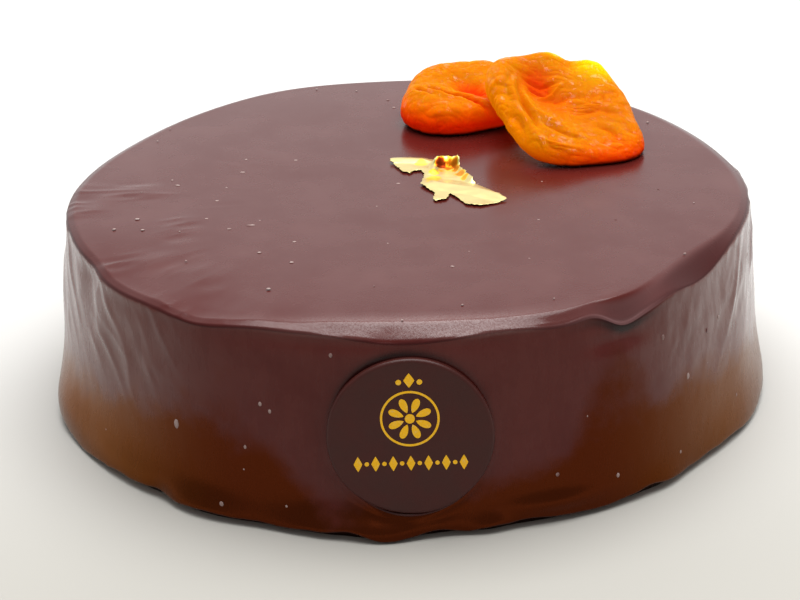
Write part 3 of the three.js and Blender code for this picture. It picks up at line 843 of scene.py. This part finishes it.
def round_outline(x, y, radius, steps=24):
    """A circle's outline."""
    turns = np.arange(steps) * 2 * np.pi / steps
    return [(x + radius * np.cos(t), y + radius * np.sin(t)) for t in turns]


def petal(x, y, azimuth, start, end, width):
    """A pointed petal's outline, along an azimuth from one distance to another."""
    points = []
    along = np.array([np.cos(np.radians(azimuth)), np.sin(np.radians(azimuth))])
    across = np.array([-along[1], along[0]])
    for t in np.linspace(0, 2 * np.pi, 20, endpoint=False):
        reach = (start + end) / 2 - (end - start) / 2 * np.cos(t)
        aside = width / 2 * np.sin(t) * abs(np.sin(t / 2)) ** 0.6
        points.append(tuple(np.array([x, y]) + along * reach + across * aside))
    return points


def raised(outline):
    """A closed low prism on the disc's face from an outline."""
    outline = np.array(outline)
    count = len(outline)
    low = np.column_stack([outline, np.full(count, -PRINT_SUNK)])
    high = np.column_stack([outline, np.full(count, PRINT_HEIGHT)])
    here = np.arange(count)
    faces = [tuple(here[::-1]), tuple(count + here)]
    faces += [(a, (a + 1) % count, count + (a + 1) % count, count + a) for a in here]
    return np.vstack([low, high]), faces


def raised_ring(x, y, radius, width, steps=96):
    """A closed ring of square section on the disc's face."""
    inner, outer = radius - width / 2, radius + width / 2
    low, high = -PRINT_SUNK, PRINT_HEIGHT
    corners = [(outer, low), (outer, high), (inner, high), (inner, low)]
    loops = [
        np.column_stack([round_outline(x, y, reach, steps), np.full(steps, level)])
        for reach, level in corners
    ]
    faces = []
    for loop in range(len(loops)):
        here, there = loop * steps, (loop + 1) % len(loops) * steps
        for a in range(steps):
            b = (a + 1) % steps
            faces.append((here + a, here + b, there + b, there + a))
    return np.vstack(loops), faces


def gilding(settings):
    """A gilded ornament on the disc: a rosette in a ring, a small crest of lozenges and a band."""
    bow = 0.1
    rosette_y, band_y, crest_y = 4.6, -6.0, 13.6
    petals, lozenges, spacing = 8, 7, 3.9
    outlines = [round_outline(0, rosette_y, 1.1)]
    outlines += [petal(0, rosette_y, (k + 0.5) * 360 / petals, 1.5, 5.0, 2.0) for k in range(petals)]
    outlines.append(lozenge(0, crest_y, 2.4, 3.4, bow))
    outlines += [round_outline(side * 2.3, crest_y - 0.4, 0.62) for side in (-1, 1)]
    band = np.arange(lozenges) * spacing - (lozenges - 1) / 2 * spacing
    outlines += [lozenge(x, band_y, 1.9, 3.6, bow) for x in band]
    outlines += [round_outline(x + spacing / 2, band_y, 0.5, 16) for x in band[:-1]]
    bodies = [raised_ring(0, rosette_y, 6.3, 0.5)]
    bodies += [raised(outline) for outline in outlines]
    points, faces = [], []
    for body in bodies:
        add_body(points, faces, body)
    placed = on_disc(np.vstack(points))
    make_mesh("gilding", placed, faces, gilding_material(settings), smooth=False)


# ---- The dried apricots ------------------------------------------------------------------------


def smooth_round(values, azimuth):
    """Values evenly spaced round a circle, joined by one smooth closed curve."""
    values = np.array(values, float)
    place = (azimuth % 360) / (360 / len(values))
    first = np.floor(place).astype(int)
    before, start, end, after = (values[(first + step) % len(values)] for step in (-1, 0, 1, 2))
    t = place - first
    slope_start, slope_end = (end - before) / 2, (after - start) / 2
    t2, t3 = t * t, t * t * t
    return (
        (2 * t3 - 3 * t2 + 1) * start
        + (t3 - 2 * t2 + t) * slope_start
        + (3 * t2 - 2 * t3) * end
        + (t3 - t2) * slope_end
    )


def nearest_on_path(x, y, path):
    """Distance in plan from points to a path, and how far along it they are, from 0 to 1."""
    nearest, along = np.full(np.shape(x), np.inf), np.zeros(np.shape(x))
    for i, ((ax, ay), (bx, by)) in enumerate(zip(path, path[1:])):
        t = ((x - ax) * (bx - ax) + (y - ay) * (by - ay)) / ((bx - ax) ** 2 + (by - ay) ** 2)
        t = np.clip(t, 0, 1)
        distance = np.hypot(x - ax - t * (bx - ax), y - ay - t * (by - ay))
        along = np.where(distance < nearest, (i + t) / (len(path) - 1), along)
        nearest = np.minimum(nearest, distance)
    return nearest, along


def fruit_relief(fruit, x, y):
    """How far the fruit's upper skin stands out with its humps and folds."""
    out = np.zeros(np.shape(x))
    for at_x, at_y, azimuth, length, width, rise in fruit["humps"]:
        cos, sin = np.cos(np.radians(azimuth)), np.sin(np.radians(azimuth))
        along = (x - at_x) * cos + (y - at_y) * sin
        across = (y - at_y) * cos - (x - at_x) * sin
        out += rise * hump(along, length) * hump(across, width)
    for path, width, rise, lip in fruit["folds"]:
        distance, along = nearest_on_path(x, y, path)
        fade = np.sqrt(np.sin(np.pi * (0.03 + 0.94 * along)))
        out += rise * fade * np.exp(-((distance / width) ** 1.5))
        out += lip * fade * hump(distance - 2.2 * width, 1.3 * width)
    return out


def fruit_wrinkles(fruit, base, size):
    """Small puckers and folds of dried skin, which run together where the flesh has shrunk."""
    shift = fruit["seed"] * 7.3
    bend = stack(*(random_relief(base / 5 + shift + part, 51 + part) for part in range(3)))
    skin = base + 1.6 * bend
    puckers = ridged(random_relief(skin / [5.0, 2.9, 3.4] + shift, 54), 2)
    creases = ridged(random_relief(skin / [2.5, 1.5, 1.9] + shift, 55), 3)
    fine = random_relief(skin / 0.8 + shift, 56)
    patchy = 0.45 + 0.75 * smoothstep(random_relief(base / 8 + shift, 57), -0.3, 0.5)
    return size * patchy * (0.5 - 1.7 * puckers - 1.0 * creases + 0.1 * fine)


def fruit_turn(fruit):
    """The matrix that sets a fruit made flat about its middle into its place, in millimetres."""
    back, left = (np.radians(tilt) for tilt in fruit["tilts"])
    turn = Matrix.Rotation(left, 4, "Y") @ Matrix.Rotation(back, 4, "X")
    return np.array(Matrix.Translation(within(fruit["node"], fruit["middle"])) @ turn)


def moved(points, matrix):
    """Points carried by a matrix."""
    return points @ matrix[:3, :3].T + matrix[:3, 3]


def settle(height, floor):
    """Lets heights settle softly onto a floor. Well above it they stay as they are."""
    above = np.clip((height - floor) / SIT_SOFTNESS, -40, 40)
    return np.where(above > 30, height, floor + SIT_SOFTNESS * np.log1p(np.exp(above)))


def dried_apricot(fruit, settings, under=None):
    """A dried apricot, pressed down where another lies on it."""
    around, under_steps, rim_steps, top_steps = 400, 10, 66, 92
    azimuth = np.arange(around)[None, :] * 360 / around
    stations = [(out, -90) for out in np.linspace(0.03, 0.98, under_steps)]
    stations += [(1, bend) for bend in np.linspace(-90, 90, rim_steps)]
    stations += [(out, 90) for out in np.linspace(0.99, 0.01, top_steps)]
    out, bend = np.array(stations)[:, 0, None], np.radians(np.array(stations)[:, 1, None])
    flat = out < 1
    half = smooth_round(fruit["thicknesses"], azimuth) / 2
    middle = fruit["middle_thickness"] / 2
    reach = smooth_round(fruit["radii"], azimuth) - half
    radius = out * reach + np.where(flat, 0, half * np.cos(bend))
    height = (middle + (half - middle) * smoothstep(out, 0.1, 1)) * np.sin(bend)
    ways = np.cos(np.radians(azimuth)), np.sin(np.radians(azimuth))
    base = stack(radius * ways[0], radius * ways[1], height)
    level = np.where(flat, 0, np.cos(bend))
    normal = stack(level * ways[0], level * ways[1], np.sin(bend) + 0 * azimuth)
    small = fruit_wrinkles(fruit, base, settings.wrinkles)
    upward = smoothstep(normal[..., 2], -0.5, 0.7)
    large = fruit_relief(fruit, base[..., 0], base[..., 1]) * upward
    rings = base + normal * (large + small)[..., None]
    hollow = np.clip(-large / 2.2 - small / 1.6, 0, 1)
    shaded = 1 - smoothstep(normal @ np.array(fruit["lit_from"]), -0.35, 0.75)
    thin = sum(
        hump(np.hypot(base[..., 0] - x, base[..., 1] - y), spread) for x, y, spread in fruit["thin"]
    )
    poles = np.array([rings[0].mean(0), rings[-1].mean(0)])
    turn = fruit_turn(fruit)
    rings, poles = moved(rings, turn), moved(poles, turn)
    if under:
        rings, poles = pressed_under(rings, under), pressed_under(poles, under)
    for part in (rings, poles):
        part[..., 2] = settle(part[..., 2], CAKE_HEIGHT + GAP)
    points, faces = closed_rings(poles[0], rings, poles[1])
    material = fruit_material(settings, fruit)
    piece = make_mesh("dried_" + fruit["node"], points, faces, material)
    for name, values in (("hollow", hollow), ("thin", thin), ("shaded", shaded)):
        keep_values(piece, name, np.concatenate([values[0, :1], values.ravel(), values[-1, :1]]))
    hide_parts(fruit["node"])


def pressed_under(points, upper):
    """Points pressed down where they would reach into the flat underside of a fruit on them."""
    turn = fruit_turn(upper)
    local = moved(points, np.linalg.inv(turn))
    underside = max(upper["thicknesses"]) / 2 + GAP
    local[..., 2] = -settle(-local[..., 2], underside)
    return moved(local, turn)


# ---- The gold leaf -----------------------------------------------------------------------------


def torn_outline():
    """The flake's outline with small tears along it."""
    rng = np.random.default_rng(14)
    points = []
    for (ax, ay), (bx, by) in zip(FLAKE_OUTLINE, FLAKE_OUTLINE[1:] + FLAKE_OUTLINE[:1]):
        along_x, along_y = bx - ax, by - ay
        length = np.hypot(along_x, along_y)
        steps = max(2, int(length / TEAR_SPACING))
        for step in range(steps):
            t = step / steps
            tear = TEAR_SIZE * rng.normal() * np.sin(np.pi * t) ** 0.5 / length
            points.append((ax + along_x * t - along_y * tear, ay + along_y * t + along_x * tear))
    return points


def flake_height(x, y):
    """How high the leaf stands above the top, with its ridges and its crumple."""
    height = np.full(np.shape(x), FLAKE_LIFT)
    for path, width, rise in FLAKE_FOLDS:
        distance, _ = nearest_on_path(x, y, path)
        height += rise * np.maximum(0, 1 - distance / width) ** 0.8
    sheet = stack(x, y, 0.5)
    crumple = 0.22 * ridged(random_relief(sheet / [5.5, 4.2, 1], 41), 1.5)
    crumple += 0.04 * ridged(random_relief(sheet / [2.4, 2.0, 1] + 7, 42), 1.5)
    return height + crumple


def flake_shade(x, y):
    """How deep the leaf's painted shade is, from 0 to 1."""
    ragged = 0.45 * random_relief(stack(x / 1.3, y / 1.3, 0.5), 43)
    spots = [
        deep * smoothstep(1.12 + ragged - np.hypot(x - at_x, y - at_y) / reach, 0, 0.3)
        for at_x, at_y, reach, deep in FLAKE_SHADES
    ]
    return np.max(spots, 0)


def gold_flake(settings):
    """The torn flake, meshed inside its outline and folded."""
    outline = torn_outline()
    low, high = np.min(outline, 0), np.max(outline, 0)
    spacing, jitter = 0.4, 0.1
    rng = np.random.default_rng(9)
    inside = [
        (x + rng.uniform(-jitter, jitter), y + rng.uniform(-jitter, jitter))
        for x in np.arange(low[0], high[0], spacing)
        for y in np.arange(low[1], high[1], spacing)
    ]
    edge = [(i, (i + 1) % len(outline)) for i in range(len(outline))]
    face = list(range(len(outline)))
    keep_inside, nearest = 1, 1e-4
    places, _, faces, *_ = delaunay_2d_cdt(
        [Vector(p) for p in outline + inside], edge, [face], keep_inside, nearest
    )
    plan = np.array([tuple(p) for p in places])
    points = np.column_stack([plan, CAKE_HEIGHT + flake_height(plan[:, 0], plan[:, 1])])
    piece = make_mesh("gold_flake", points, faces, leaf_material(settings))
    # Painted shade beside the folds and in the hollow.
    keep_values(piece, "deep", flake_shade(plan[:, 0], plan[:, 1]))
    shell = piece.modifiers.new("thickness", "SOLIDIFY")
    shell.thickness = FLAKE_THICKNESS * MM
    shell.offset = 0
    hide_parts("gold_leaf")


# ---- Shader wiring -----------------------------------------------------------------------------


class Wire:
    """A socket that takes part in sums: each sum adds the node that works it out."""

    def __init__(self, nodes, socket):
        self.nodes = nodes
        self.socket = socket

    def sum(self, operation, *values):
        return self.nodes.add("ShaderNodeMath", {"operation": operation}, dict(enumerate(values)))

    def __add__(self, other):
        return self.sum("ADD", self, other)

    def __sub__(self, other):
        return self.sum("SUBTRACT", self, other)

    def __rsub__(self, other):
        return self.sum("SUBTRACT", other, self)

    def __mul__(self, other):
        return self.sum("MULTIPLY", self, other)

    __radd__ = __add__
    __rmul__ = __mul__

    def clamped(self):
        return self.sum("MINIMUM", self.sum("MAXIMUM", self, 0.0), 1.0)

    def from_to(self, low, high):
        """0 below low, 1 above high and smooth between them."""
        settings = {"interpolation_type": "SMOOTHSTEP"}
        ends = {"Value": self, "From Min": low, "From Max": high}
        return self.nodes.add("ShaderNodeMapRange", settings, ends)


class Nodes:
    """A node tree under construction."""

    def __init__(self, tree):
        self.tree = tree

    def add(self, kind, settings=None, inputs=None, output=0):
        """Adds a node, sets it, feeds it, and returns one of its outputs."""
        node = self.tree.nodes.new(kind)
        for key, value in (settings or {}).items():
            if key == "stops":
                self.set_stops(node.color_ramp, value)
            else:
                setattr(node, key, value)
        for key, value in (inputs or {}).items():
            self.feed(node.inputs[key], value)
        return Wire(self, node.outputs[output])

    def set_stops(self, ramp, stops):
        """Gives a ramp its places and colours."""
        while len(ramp.elements) < len(stops):
            ramp.elements.new(0.5)
        for element, (place, shade) in zip(ramp.elements, stops):
            element.position = place
            element.color = (*shade, 1)

    def feed(self, socket, value):
        """Links a wire to a socket, or sets the socket to a value."""
        if isinstance(value, Wire):
            self.tree.links.new(value.socket, socket)
        elif socket.type == "RGBA":
            socket.default_value = (*value, 1)
        else:
            socket.default_value = value

    def axis(self, vector, name):
        """One part of a vector: its X, Y or Z."""
        return self.add("ShaderNodeSeparateXYZ", None, {0: vector}, name)


class Paint(Nodes):
    """A material under construction."""

    def __init__(self, name, **constants):
        self.material = bpy.data.materials.new(name)
        self.material.use_nodes = True
        super().__init__(self.material.node_tree)
        self.shader = self.tree.nodes["Principled BSDF"]
        for socket, value in constants.items():
            self.shader.inputs[socket.replace("_", " ")].default_value = value

    def place(self):
        """Where on the piece, in metres."""
        return self.add("ShaderNodeTexCoord", output="Object")

    def attribute(self, name):
        """A number kept on the piece's own points."""
        return self.add("ShaderNodeAttribute", {"attribute_name": name}, None, "Fac")

    def scaled(self, vector, scale):
        """A vector with each of its parts scaled."""
        inputs = {0: vector, 1: scale}
        return self.add("ShaderNodeVectorMath", {"operation": "MULTIPLY"}, inputs)

    def noise(self, place, size_mm, detail=2.0, roughness=0.5):
        """Noise from 0 to 1 whose lumps are about the given size."""
        inputs = {
            "Vector": place,
            "Scale": 1 / (size_mm * MM),
            "Detail": detail,
            "Roughness": roughness,
        }
        return self.add("ShaderNodeTexNoise", None, inputs)

    def mix(self, share, first, second):
        """The first colour where the share is 0, the second where it is 1."""
        settings = {"data_type": "RGBA"}
        return self.add("ShaderNodeMix", settings, {0: share, 6: first, 7: second}, 2)

    def bump(self, height, depth_mm):
        """A relief this deep, for the shader's Normal."""
        return self.add("ShaderNodeBump", None, {"Height": height, "Distance": depth_mm * MM})

    def finish(self, **links):
        """Feeds the shader's sockets and returns the material."""
        for socket, value in links.items():
            self.feed(self.shader.inputs[socket.replace("_", " ")], value)
        return self.material


# ---- Materials ---------------------------------------------------------------------------------


def glaze_material(settings):
    """Dark satin glaze with runs at left and right, and painted light: painted reflections that make it
    paler at left and right and brown low down, a painted highlight on the rim's front, painted sheen on
    the lip at the right, and painted shade over the rim's turn, above the disc and under the lip.
    """
    paint = Paint("chocolate_glaze", IOR=1.2, Coat_IOR=1.5, Coat_Roughness=0.2)
    place = paint.place()
    across = paint.axis(place, "X") * (1 / (SHOULDER_RADIUS * MM))
    mottle = paint.noise(place, 14, 4, 0.6)
    grain = paint.noise(place, 0.7, 2, 0.6)
    streaks = paint.noise(paint.scaled(place, (1, 1, 0.25)), 2.6, 3, 0.6)
    sparkle = paint.noise(place, 0.45, 2, 0.7)
    flow, rim = paint.attribute("flow"), paint.attribute("rim")
    on_side, turned = paint.attribute("side"), paint.attribute("turned")
    shade = (mottle * 0.7 + streaks * on_side * 0.4).from_to(0.25, 0.75)
    body = paint.mix(shade, settings.dark, settings.light)
    # Painted warm brown reflection low on the side, made metallic too so that it reflects in its own
    # tint.
    low = (paint.attribute("brown") + (mottle - 0.5) * 1.3).from_to(0.2, 0.8) * on_side
    roughness = settings.roughness + (mottle - 0.5) * 0.12 + (streaks - 0.5) * on_side * 0.14
    relief = grain * 0.25 + streaks * on_side * 0.4 + sparkle * rim * 2
    # Where the side faces left and right: a painted pale reflection there, and a stronger coat.
    side_reflection = (across * across).from_to(0.2, 0.85)
    shine = 0.3 + (0.18 + across * 0.12) * side_reflection * on_side
    shine = shine * (1 - low) * (0.45 + mottle * 1.1) * (1 - turned * 0.75)
    runs = flow * streaks.from_to(0.3, 0.7) * (0.42 + across * 0.26)
    coat = shine + runs + rim * (0.15 + sparkle.from_to(0.3, 0.7) * 0.75)
    # The painted brown reflection, paler at the left and right.
    low_reflection = paint.mix(side_reflection, settings.low, settings.low_side_reflection)
    # Painted shade where the glaze turns over the rim; the coat is weaker there too.
    body = paint.mix(turned * 0.85, body, settings.turned)
    # Painted pale reflection high at the left and right.
    body = paint.mix(side_reflection * on_side * 0.6, body, settings.side_reflection)
    # Painted highlight on the rim's front.
    body = paint.mix(rim * 0.35, body, settings.lit_rim)
    # Painted sheen on the lip at the right.
    body = paint.mix(paint.attribute("lip") * 0.8, body, settings.lip)
    # Painted shade above the disc and under the lip.
    body = paint.mix(paint.attribute("gap"), body, settings.gap)
    return paint.finish(
        Base_Color=paint.mix(low, body, low_reflection),
        Metallic=low * 0.95,
        Roughness=roughness.clamped(),
        Coat_Weight=coat.clamped(),
        Normal=paint.bump(relief, 0.06),
    )


def speck_material(settings):
    """Pale bubbles and crumbs."""
    paint = Paint("glaze_specks", IOR=1.4)
    shade = paint.noise(paint.place(), 6, 1)
    return paint.finish(
        Base_Color=paint.mix(shade.from_to(0.25, 0.5), settings.light, settings.speck),
        Roughness=(0.3 + shade * 0.2).clamped(),
    )


def disc_material(settings):
    """Plain dark chocolate, less glossy than the glaze."""
    paint = Paint("disc_chocolate", IOR=1.32)
    place = paint.place()
    mottle = paint.noise(place, 8, 4, 0.6)
    grain = paint.noise(place, 0.5, 2, 0.6)
    return paint.finish(
        Base_Color=paint.mix(mottle.from_to(0.3, 0.8) * 0.4, settings.disc, settings.dark),
        Roughness=(0.36 + (mottle - 0.5) * 0.15).clamped(),
        Normal=paint.bump(grain, 0.03),
    )


def gilding_material(settings):
    """Printed gold, a little worn."""
    paint = Paint("gilding", IOR=1.3)
    worn = paint.noise(paint.place(), 0.8, 3, 0.7)
    return paint.finish(
        Base_Color=paint.mix(worn.from_to(0.5, 0.8) * 0.6, settings.print_colour, settings.leaf),
        Roughness=(0.35 + worn * 0.25).clamped(),
        Normal=paint.bump(worn, 0.03),
    )


def fruit_material(settings, fruit):
    """Soft flesh that light comes through, wet in places, with painted light: a red glow low down,
    painted shade in its hollows and a painted contact shadow where it touches the glaze.
    """
    paint = Paint(
        "dried_" + fruit["node"],
        IOR=1.06,
        Coat_IOR=1.45,
        Coat_Roughness=0.12,
        Subsurface_Weight=0.6,
        Subsurface_Radius=(1.0, 0.3, 0.02),
        Subsurface_Scale=0.004,
        Emission_Strength=1.0,
    )
    place = paint.place()
    height = paint.axis(place, "Z")
    bottom = node_box(fruit["node"])[0][2]
    patches = paint.noise(place, 6, 3, 0.55)
    fine = paint.noise(place, 1.0, 3, 0.6)
    hollow = paint.attribute("hollow")
    thin, shaded = paint.attribute("thin"), paint.attribute("shaded")
    start, end, strength = fruit["foot"]
    foot = (1 - height.from_to((bottom + start) * MM, (bottom + end) * MM)) * strength
    # Redder in random patches, and in the hollows as painted shade.
    deep = (hollow * 0.95 + (patches - 0.5) * 0.5).clamped()
    flesh = paint.mix(deep, settings.flesh, settings.deep)
    # Painted glow: the foot bright red where light comes through it in shade.
    flesh = paint.mix(foot, flesh, settings.low)
    shade = paint.mix(thin.clamped(), flesh, settings.thin)
    # Painted contact shadow near the glaze, where the glow is taken out too.
    contact_shade = 1 - height.from_to((bottom + 0.2) * MM, (bottom + 1.5) * MM)
    glow = paint.mix(shaded, settings.glow, settings.glow_shaded)
    glow = paint.mix(foot, glow, settings.glow_low)
    drops = paint.noise(place, 1.8, 2, 0.6).from_to(0.53, 0.63)
    wet = drops * (1 - hollow * 1.6).clamped() * (0.3 + 0.7 * patches.from_to(0.45, 0.6))
    return paint.finish(
        Base_Color=paint.mix(contact_shade * 0.9, shade, settings.contact_shadow),
        Roughness=(0.45 + (fine - 0.5) * 0.3).clamped(),
        Coat_Weight=(wet * 0.7).clamped(),
        Emission_Color=paint.mix(contact_shade, glow, (0, 0, 0)),
        Normal=paint.bump(fine * 0.7 + patches * 0.4, 0.24),
    )


def leaf_material(settings):
    """Crumpled gold, deeper in colour where shade is painted beside its folds and in its hollow."""
    paint = Paint("gold_leaf", Metallic=1.0)
    crumple = paint.noise(paint.place(), 2.2, 2, 0.5)
    # The leaf's colour deepens to yellow, orange and brown with the painted shade kept on it.
    stops = [
        (0.1, settings.leaf), (0.38, settings.leaf_yellow_shade), (0.7, settings.leaf_orange_shade),
        (0.95, settings.leaf_brown_shade),
    ]
    return paint.finish(
        Base_Color=paint.add("ShaderNodeValToRGB", {"stops": stops}, {0: paint.attribute("deep")}),
        Roughness=(settings.roughness + (crumple - 0.5) * 0.2).clamped(),
        Normal=paint.bump(crumple, 0.05),
    )


def floor_material(settings):
    """A pale floor, with painted shade that darkens it in front of the cake."""
    paint = Paint("studio_floor", Roughness=0.7)
    back = paint.axis(paint.place(), "Y").from_to(-0.14, 0.12)
    return paint.finish(Base_Color=paint.mix(back, settings.floor_front_shade, settings.floor))


# ---- The studio --------------------------------------------------------------------------------


def floor(settings):
    """A wide pale floor, a hair below the cake."""
    half, level = 4000, -0.05
    corners = [(-half, -half), (half, -half), (half, half), (-half, half)]
    points = [(*corner, level) for corner in corners]
    mesh = bpy.data.meshes.new("floor")
    mesh.from_pydata(np.array(points) * MM, [], [(0, 1, 2, 3)])
    mesh.materials.append(floor_material(settings))
    plane = bpy.data.objects.new("floor", mesh)
    bpy.context.scene.collection.objects.link(plane)


def top_box(settings):
    """A wide soft box above the cake."""
    place, aim = Vector((0.1, 0.02, 1.0)), Vector((0, 0, 0.05))
    light = bpy.data.lights.new("top_box", "AREA")
    light.shape = "RECTANGLE"
    light.size, light.size_y = 1.0, 0.9
    light.energy = settings.top_light
    lamp = bpy.data.objects.new("top_box", light)
    lamp.location = place
    lamp.rotation_euler = (aim - place).to_track_quat("-Z", "Y").to_euler()
    bpy.context.scene.collection.objects.link(lamp)


def backdrop_light(settings):
    """The room's light: white all round, and dimmer from the front."""
    world = bpy.data.worlds.new("studio")
    bpy.context.scene.world = world
    world.use_nodes = True
    nodes = Nodes(world.node_tree)
    towards = nodes.add("ShaderNodeTexCoord", output="Generated")
    inputs = {"Value": nodes.axis(towards, "Y"), "From Min": 0.0, "From Max": 0.6}
    inputs |= {"To Min": 0.3 * settings.room_light, "To Max": settings.room_light}
    background = world.node_tree.nodes["Background"]
    nodes.feed(background.inputs["Strength"], nodes.add("ShaderNodeMapRange", None, inputs))
    nodes.feed(background.inputs["Color"], (1, 1, 1))


def camera(settings):
    """A camera in front of the cake and above it, turned a touch off the cake's middle."""
    turn_left, tip_down, roll = np.radians([0.238, 0.619, -1.515])
    aim = Vector((0, 0, CAKE_HEIGHT / 2 * MM))
    ahead = Vector((0, np.cos(settings.elevation), -np.sin(settings.elevation)))
    right = Vector((1, 0, 0))
    up = right.cross(ahead)
    level = Matrix((right, up, -ahead)).transposed().to_4x4()
    turn = (
        Matrix.Rotation(roll, 4, "Z")
        @ Matrix.Rotation(turn_left, 4, "Y")
        @ Matrix.Rotation(-tip_down, 4, "X")
    )
    data = bpy.data.cameras.new("camera")
    data.lens = settings.lens
    data.clip_start = 0.01
    eye = bpy.data.objects.new("camera", data)
    eye.matrix_world = Matrix.Translation(aim - ahead * settings.distance) @ level @ turn
    bpy.context.scene.collection.objects.link(eye)
    bpy.context.scene.camera = eye


# ---- Operators ---------------------------------------------------------------------------------


class TORTE_OT_glaze(bpy.types.Operator):
    """Make the cake under its glaze"""

    bl_idname = "torte.glaze"
    bl_label = "Glazed cake"

    def execute(self, context):
        glazed_cake(context.scene.torte_glaze)
        return {"FINISHED"}


class TORTE_OT_specks(bpy.types.Operator):
    """Make the bubbles and crumbs in the glaze"""

    bl_idname = "torte.specks"
    bl_label = "Specks"

    def execute(self, context):
        glaze_specks(context.scene.torte_glaze)
        return {"FINISHED"}


class TORTE_OT_disc(bpy.types.Operator):
    """Make the chocolate disc"""

    bl_idname = "torte.disc"
    bl_label = "Chocolate disc"

    def execute(self, context):
        chocolate_disc(context.scene.torte_glaze)
        return {"FINISHED"}


class TORTE_OT_lip(bpy.types.Operator):
    """Make the lip of glaze round the disc"""

    bl_idname = "torte.lip"
    bl_label = "Lip of glaze"

    def execute(self, context):
        glaze_lip(context.scene.torte_glaze)
        return {"FINISHED"}


class TORTE_OT_gilding(bpy.types.Operator):
    """Make the gilding on the disc"""

    bl_idname = "torte.gilding"
    bl_label = "Gilding"

    def execute(self, context):
        gilding(context.scene.torte_gold)
        return {"FINISHED"}


class TORTE_OT_apricots(bpy.types.Operator):
    """Make the two dried apricots"""

    bl_idname = "torte.apricots"
    bl_label = "Dried apricots"

    def execute(self, context):
        dried_apricot(RIGHT_APRICOT, context.scene.torte_fruit)
        dried_apricot(LEFT_APRICOT, context.scene.torte_fruit, under=RIGHT_APRICOT)
        return {"FINISHED"}


class TORTE_OT_gold_leaf(bpy.types.Operator):
    """Make the torn flake of gold leaf"""

    bl_idname = "torte.gold_leaf"
    bl_label = "Gold leaf"

    def execute(self, context):
        gold_flake(context.scene.torte_gold)
        return {"FINISHED"}


class TORTE_OT_studio(bpy.types.Operator):
    """Make the floor, the lights and the camera"""

    bl_idname = "torte.studio"
    bl_label = "Studio"

    def execute(self, context):
        settings = context.scene.torte_studio
        floor(settings)
        backdrop_light(settings)
        top_box(settings)
        camera(settings)
        context.scene.view_settings.view_transform = "Standard"
        return {"FINISHED"}


class TORTE_PT_panel(bpy.types.Panel):
    """Lists the cake's makers and their settings"""

    bl_label = "Sachertorte"
    bl_space_type = "VIEW_3D"
    bl_region_type = "UI"
    bl_category = "Torte"

    def draw(self, context):
        for maker in OPERATORS:
            self.layout.operator(maker.bl_idname)
        for group in SETTINGS:
            settings = getattr(context.scene, group)
            box = self.layout.box()
            for key in settings.__annotations__:
                box.prop(settings, key)


OPERATORS = [
    TORTE_OT_studio,
    TORTE_OT_glaze,
    TORTE_OT_specks,
    TORTE_OT_disc,
    TORTE_OT_lip,
    TORTE_OT_gilding,
    TORTE_OT_apricots,
    TORTE_OT_gold_leaf,
]
SETTINGS = {
    "torte_glaze": GlazeSettings,
    "torte_fruit": FruitSettings,
    "torte_gold": GoldSettings,
    "torte_studio": StudioSettings,
}


def register():
    for group, settings in SETTINGS.items():
        bpy.utils.register_class(settings)
        setattr(bpy.types.Scene, group, bpy.props.PointerProperty(type=settings))
    for maker in (*OPERATORS, TORTE_PT_panel):
        bpy.utils.register_class(maker)


def unregister():
    for maker in (TORTE_PT_panel, *reversed(OPERATORS)):
        bpy.utils.unregister_class(maker)
    for group, settings in SETTINGS.items():
        delattr(bpy.types.Scene, group)
        bpy.utils.unregister_class(settings)


def main():
    register()
    for maker in OPERATORS:
        group, action = maker.bl_idname.split(".")
        getattr(getattr(bpy.ops, group), action)()


if __name__ == "__main__":
    main()
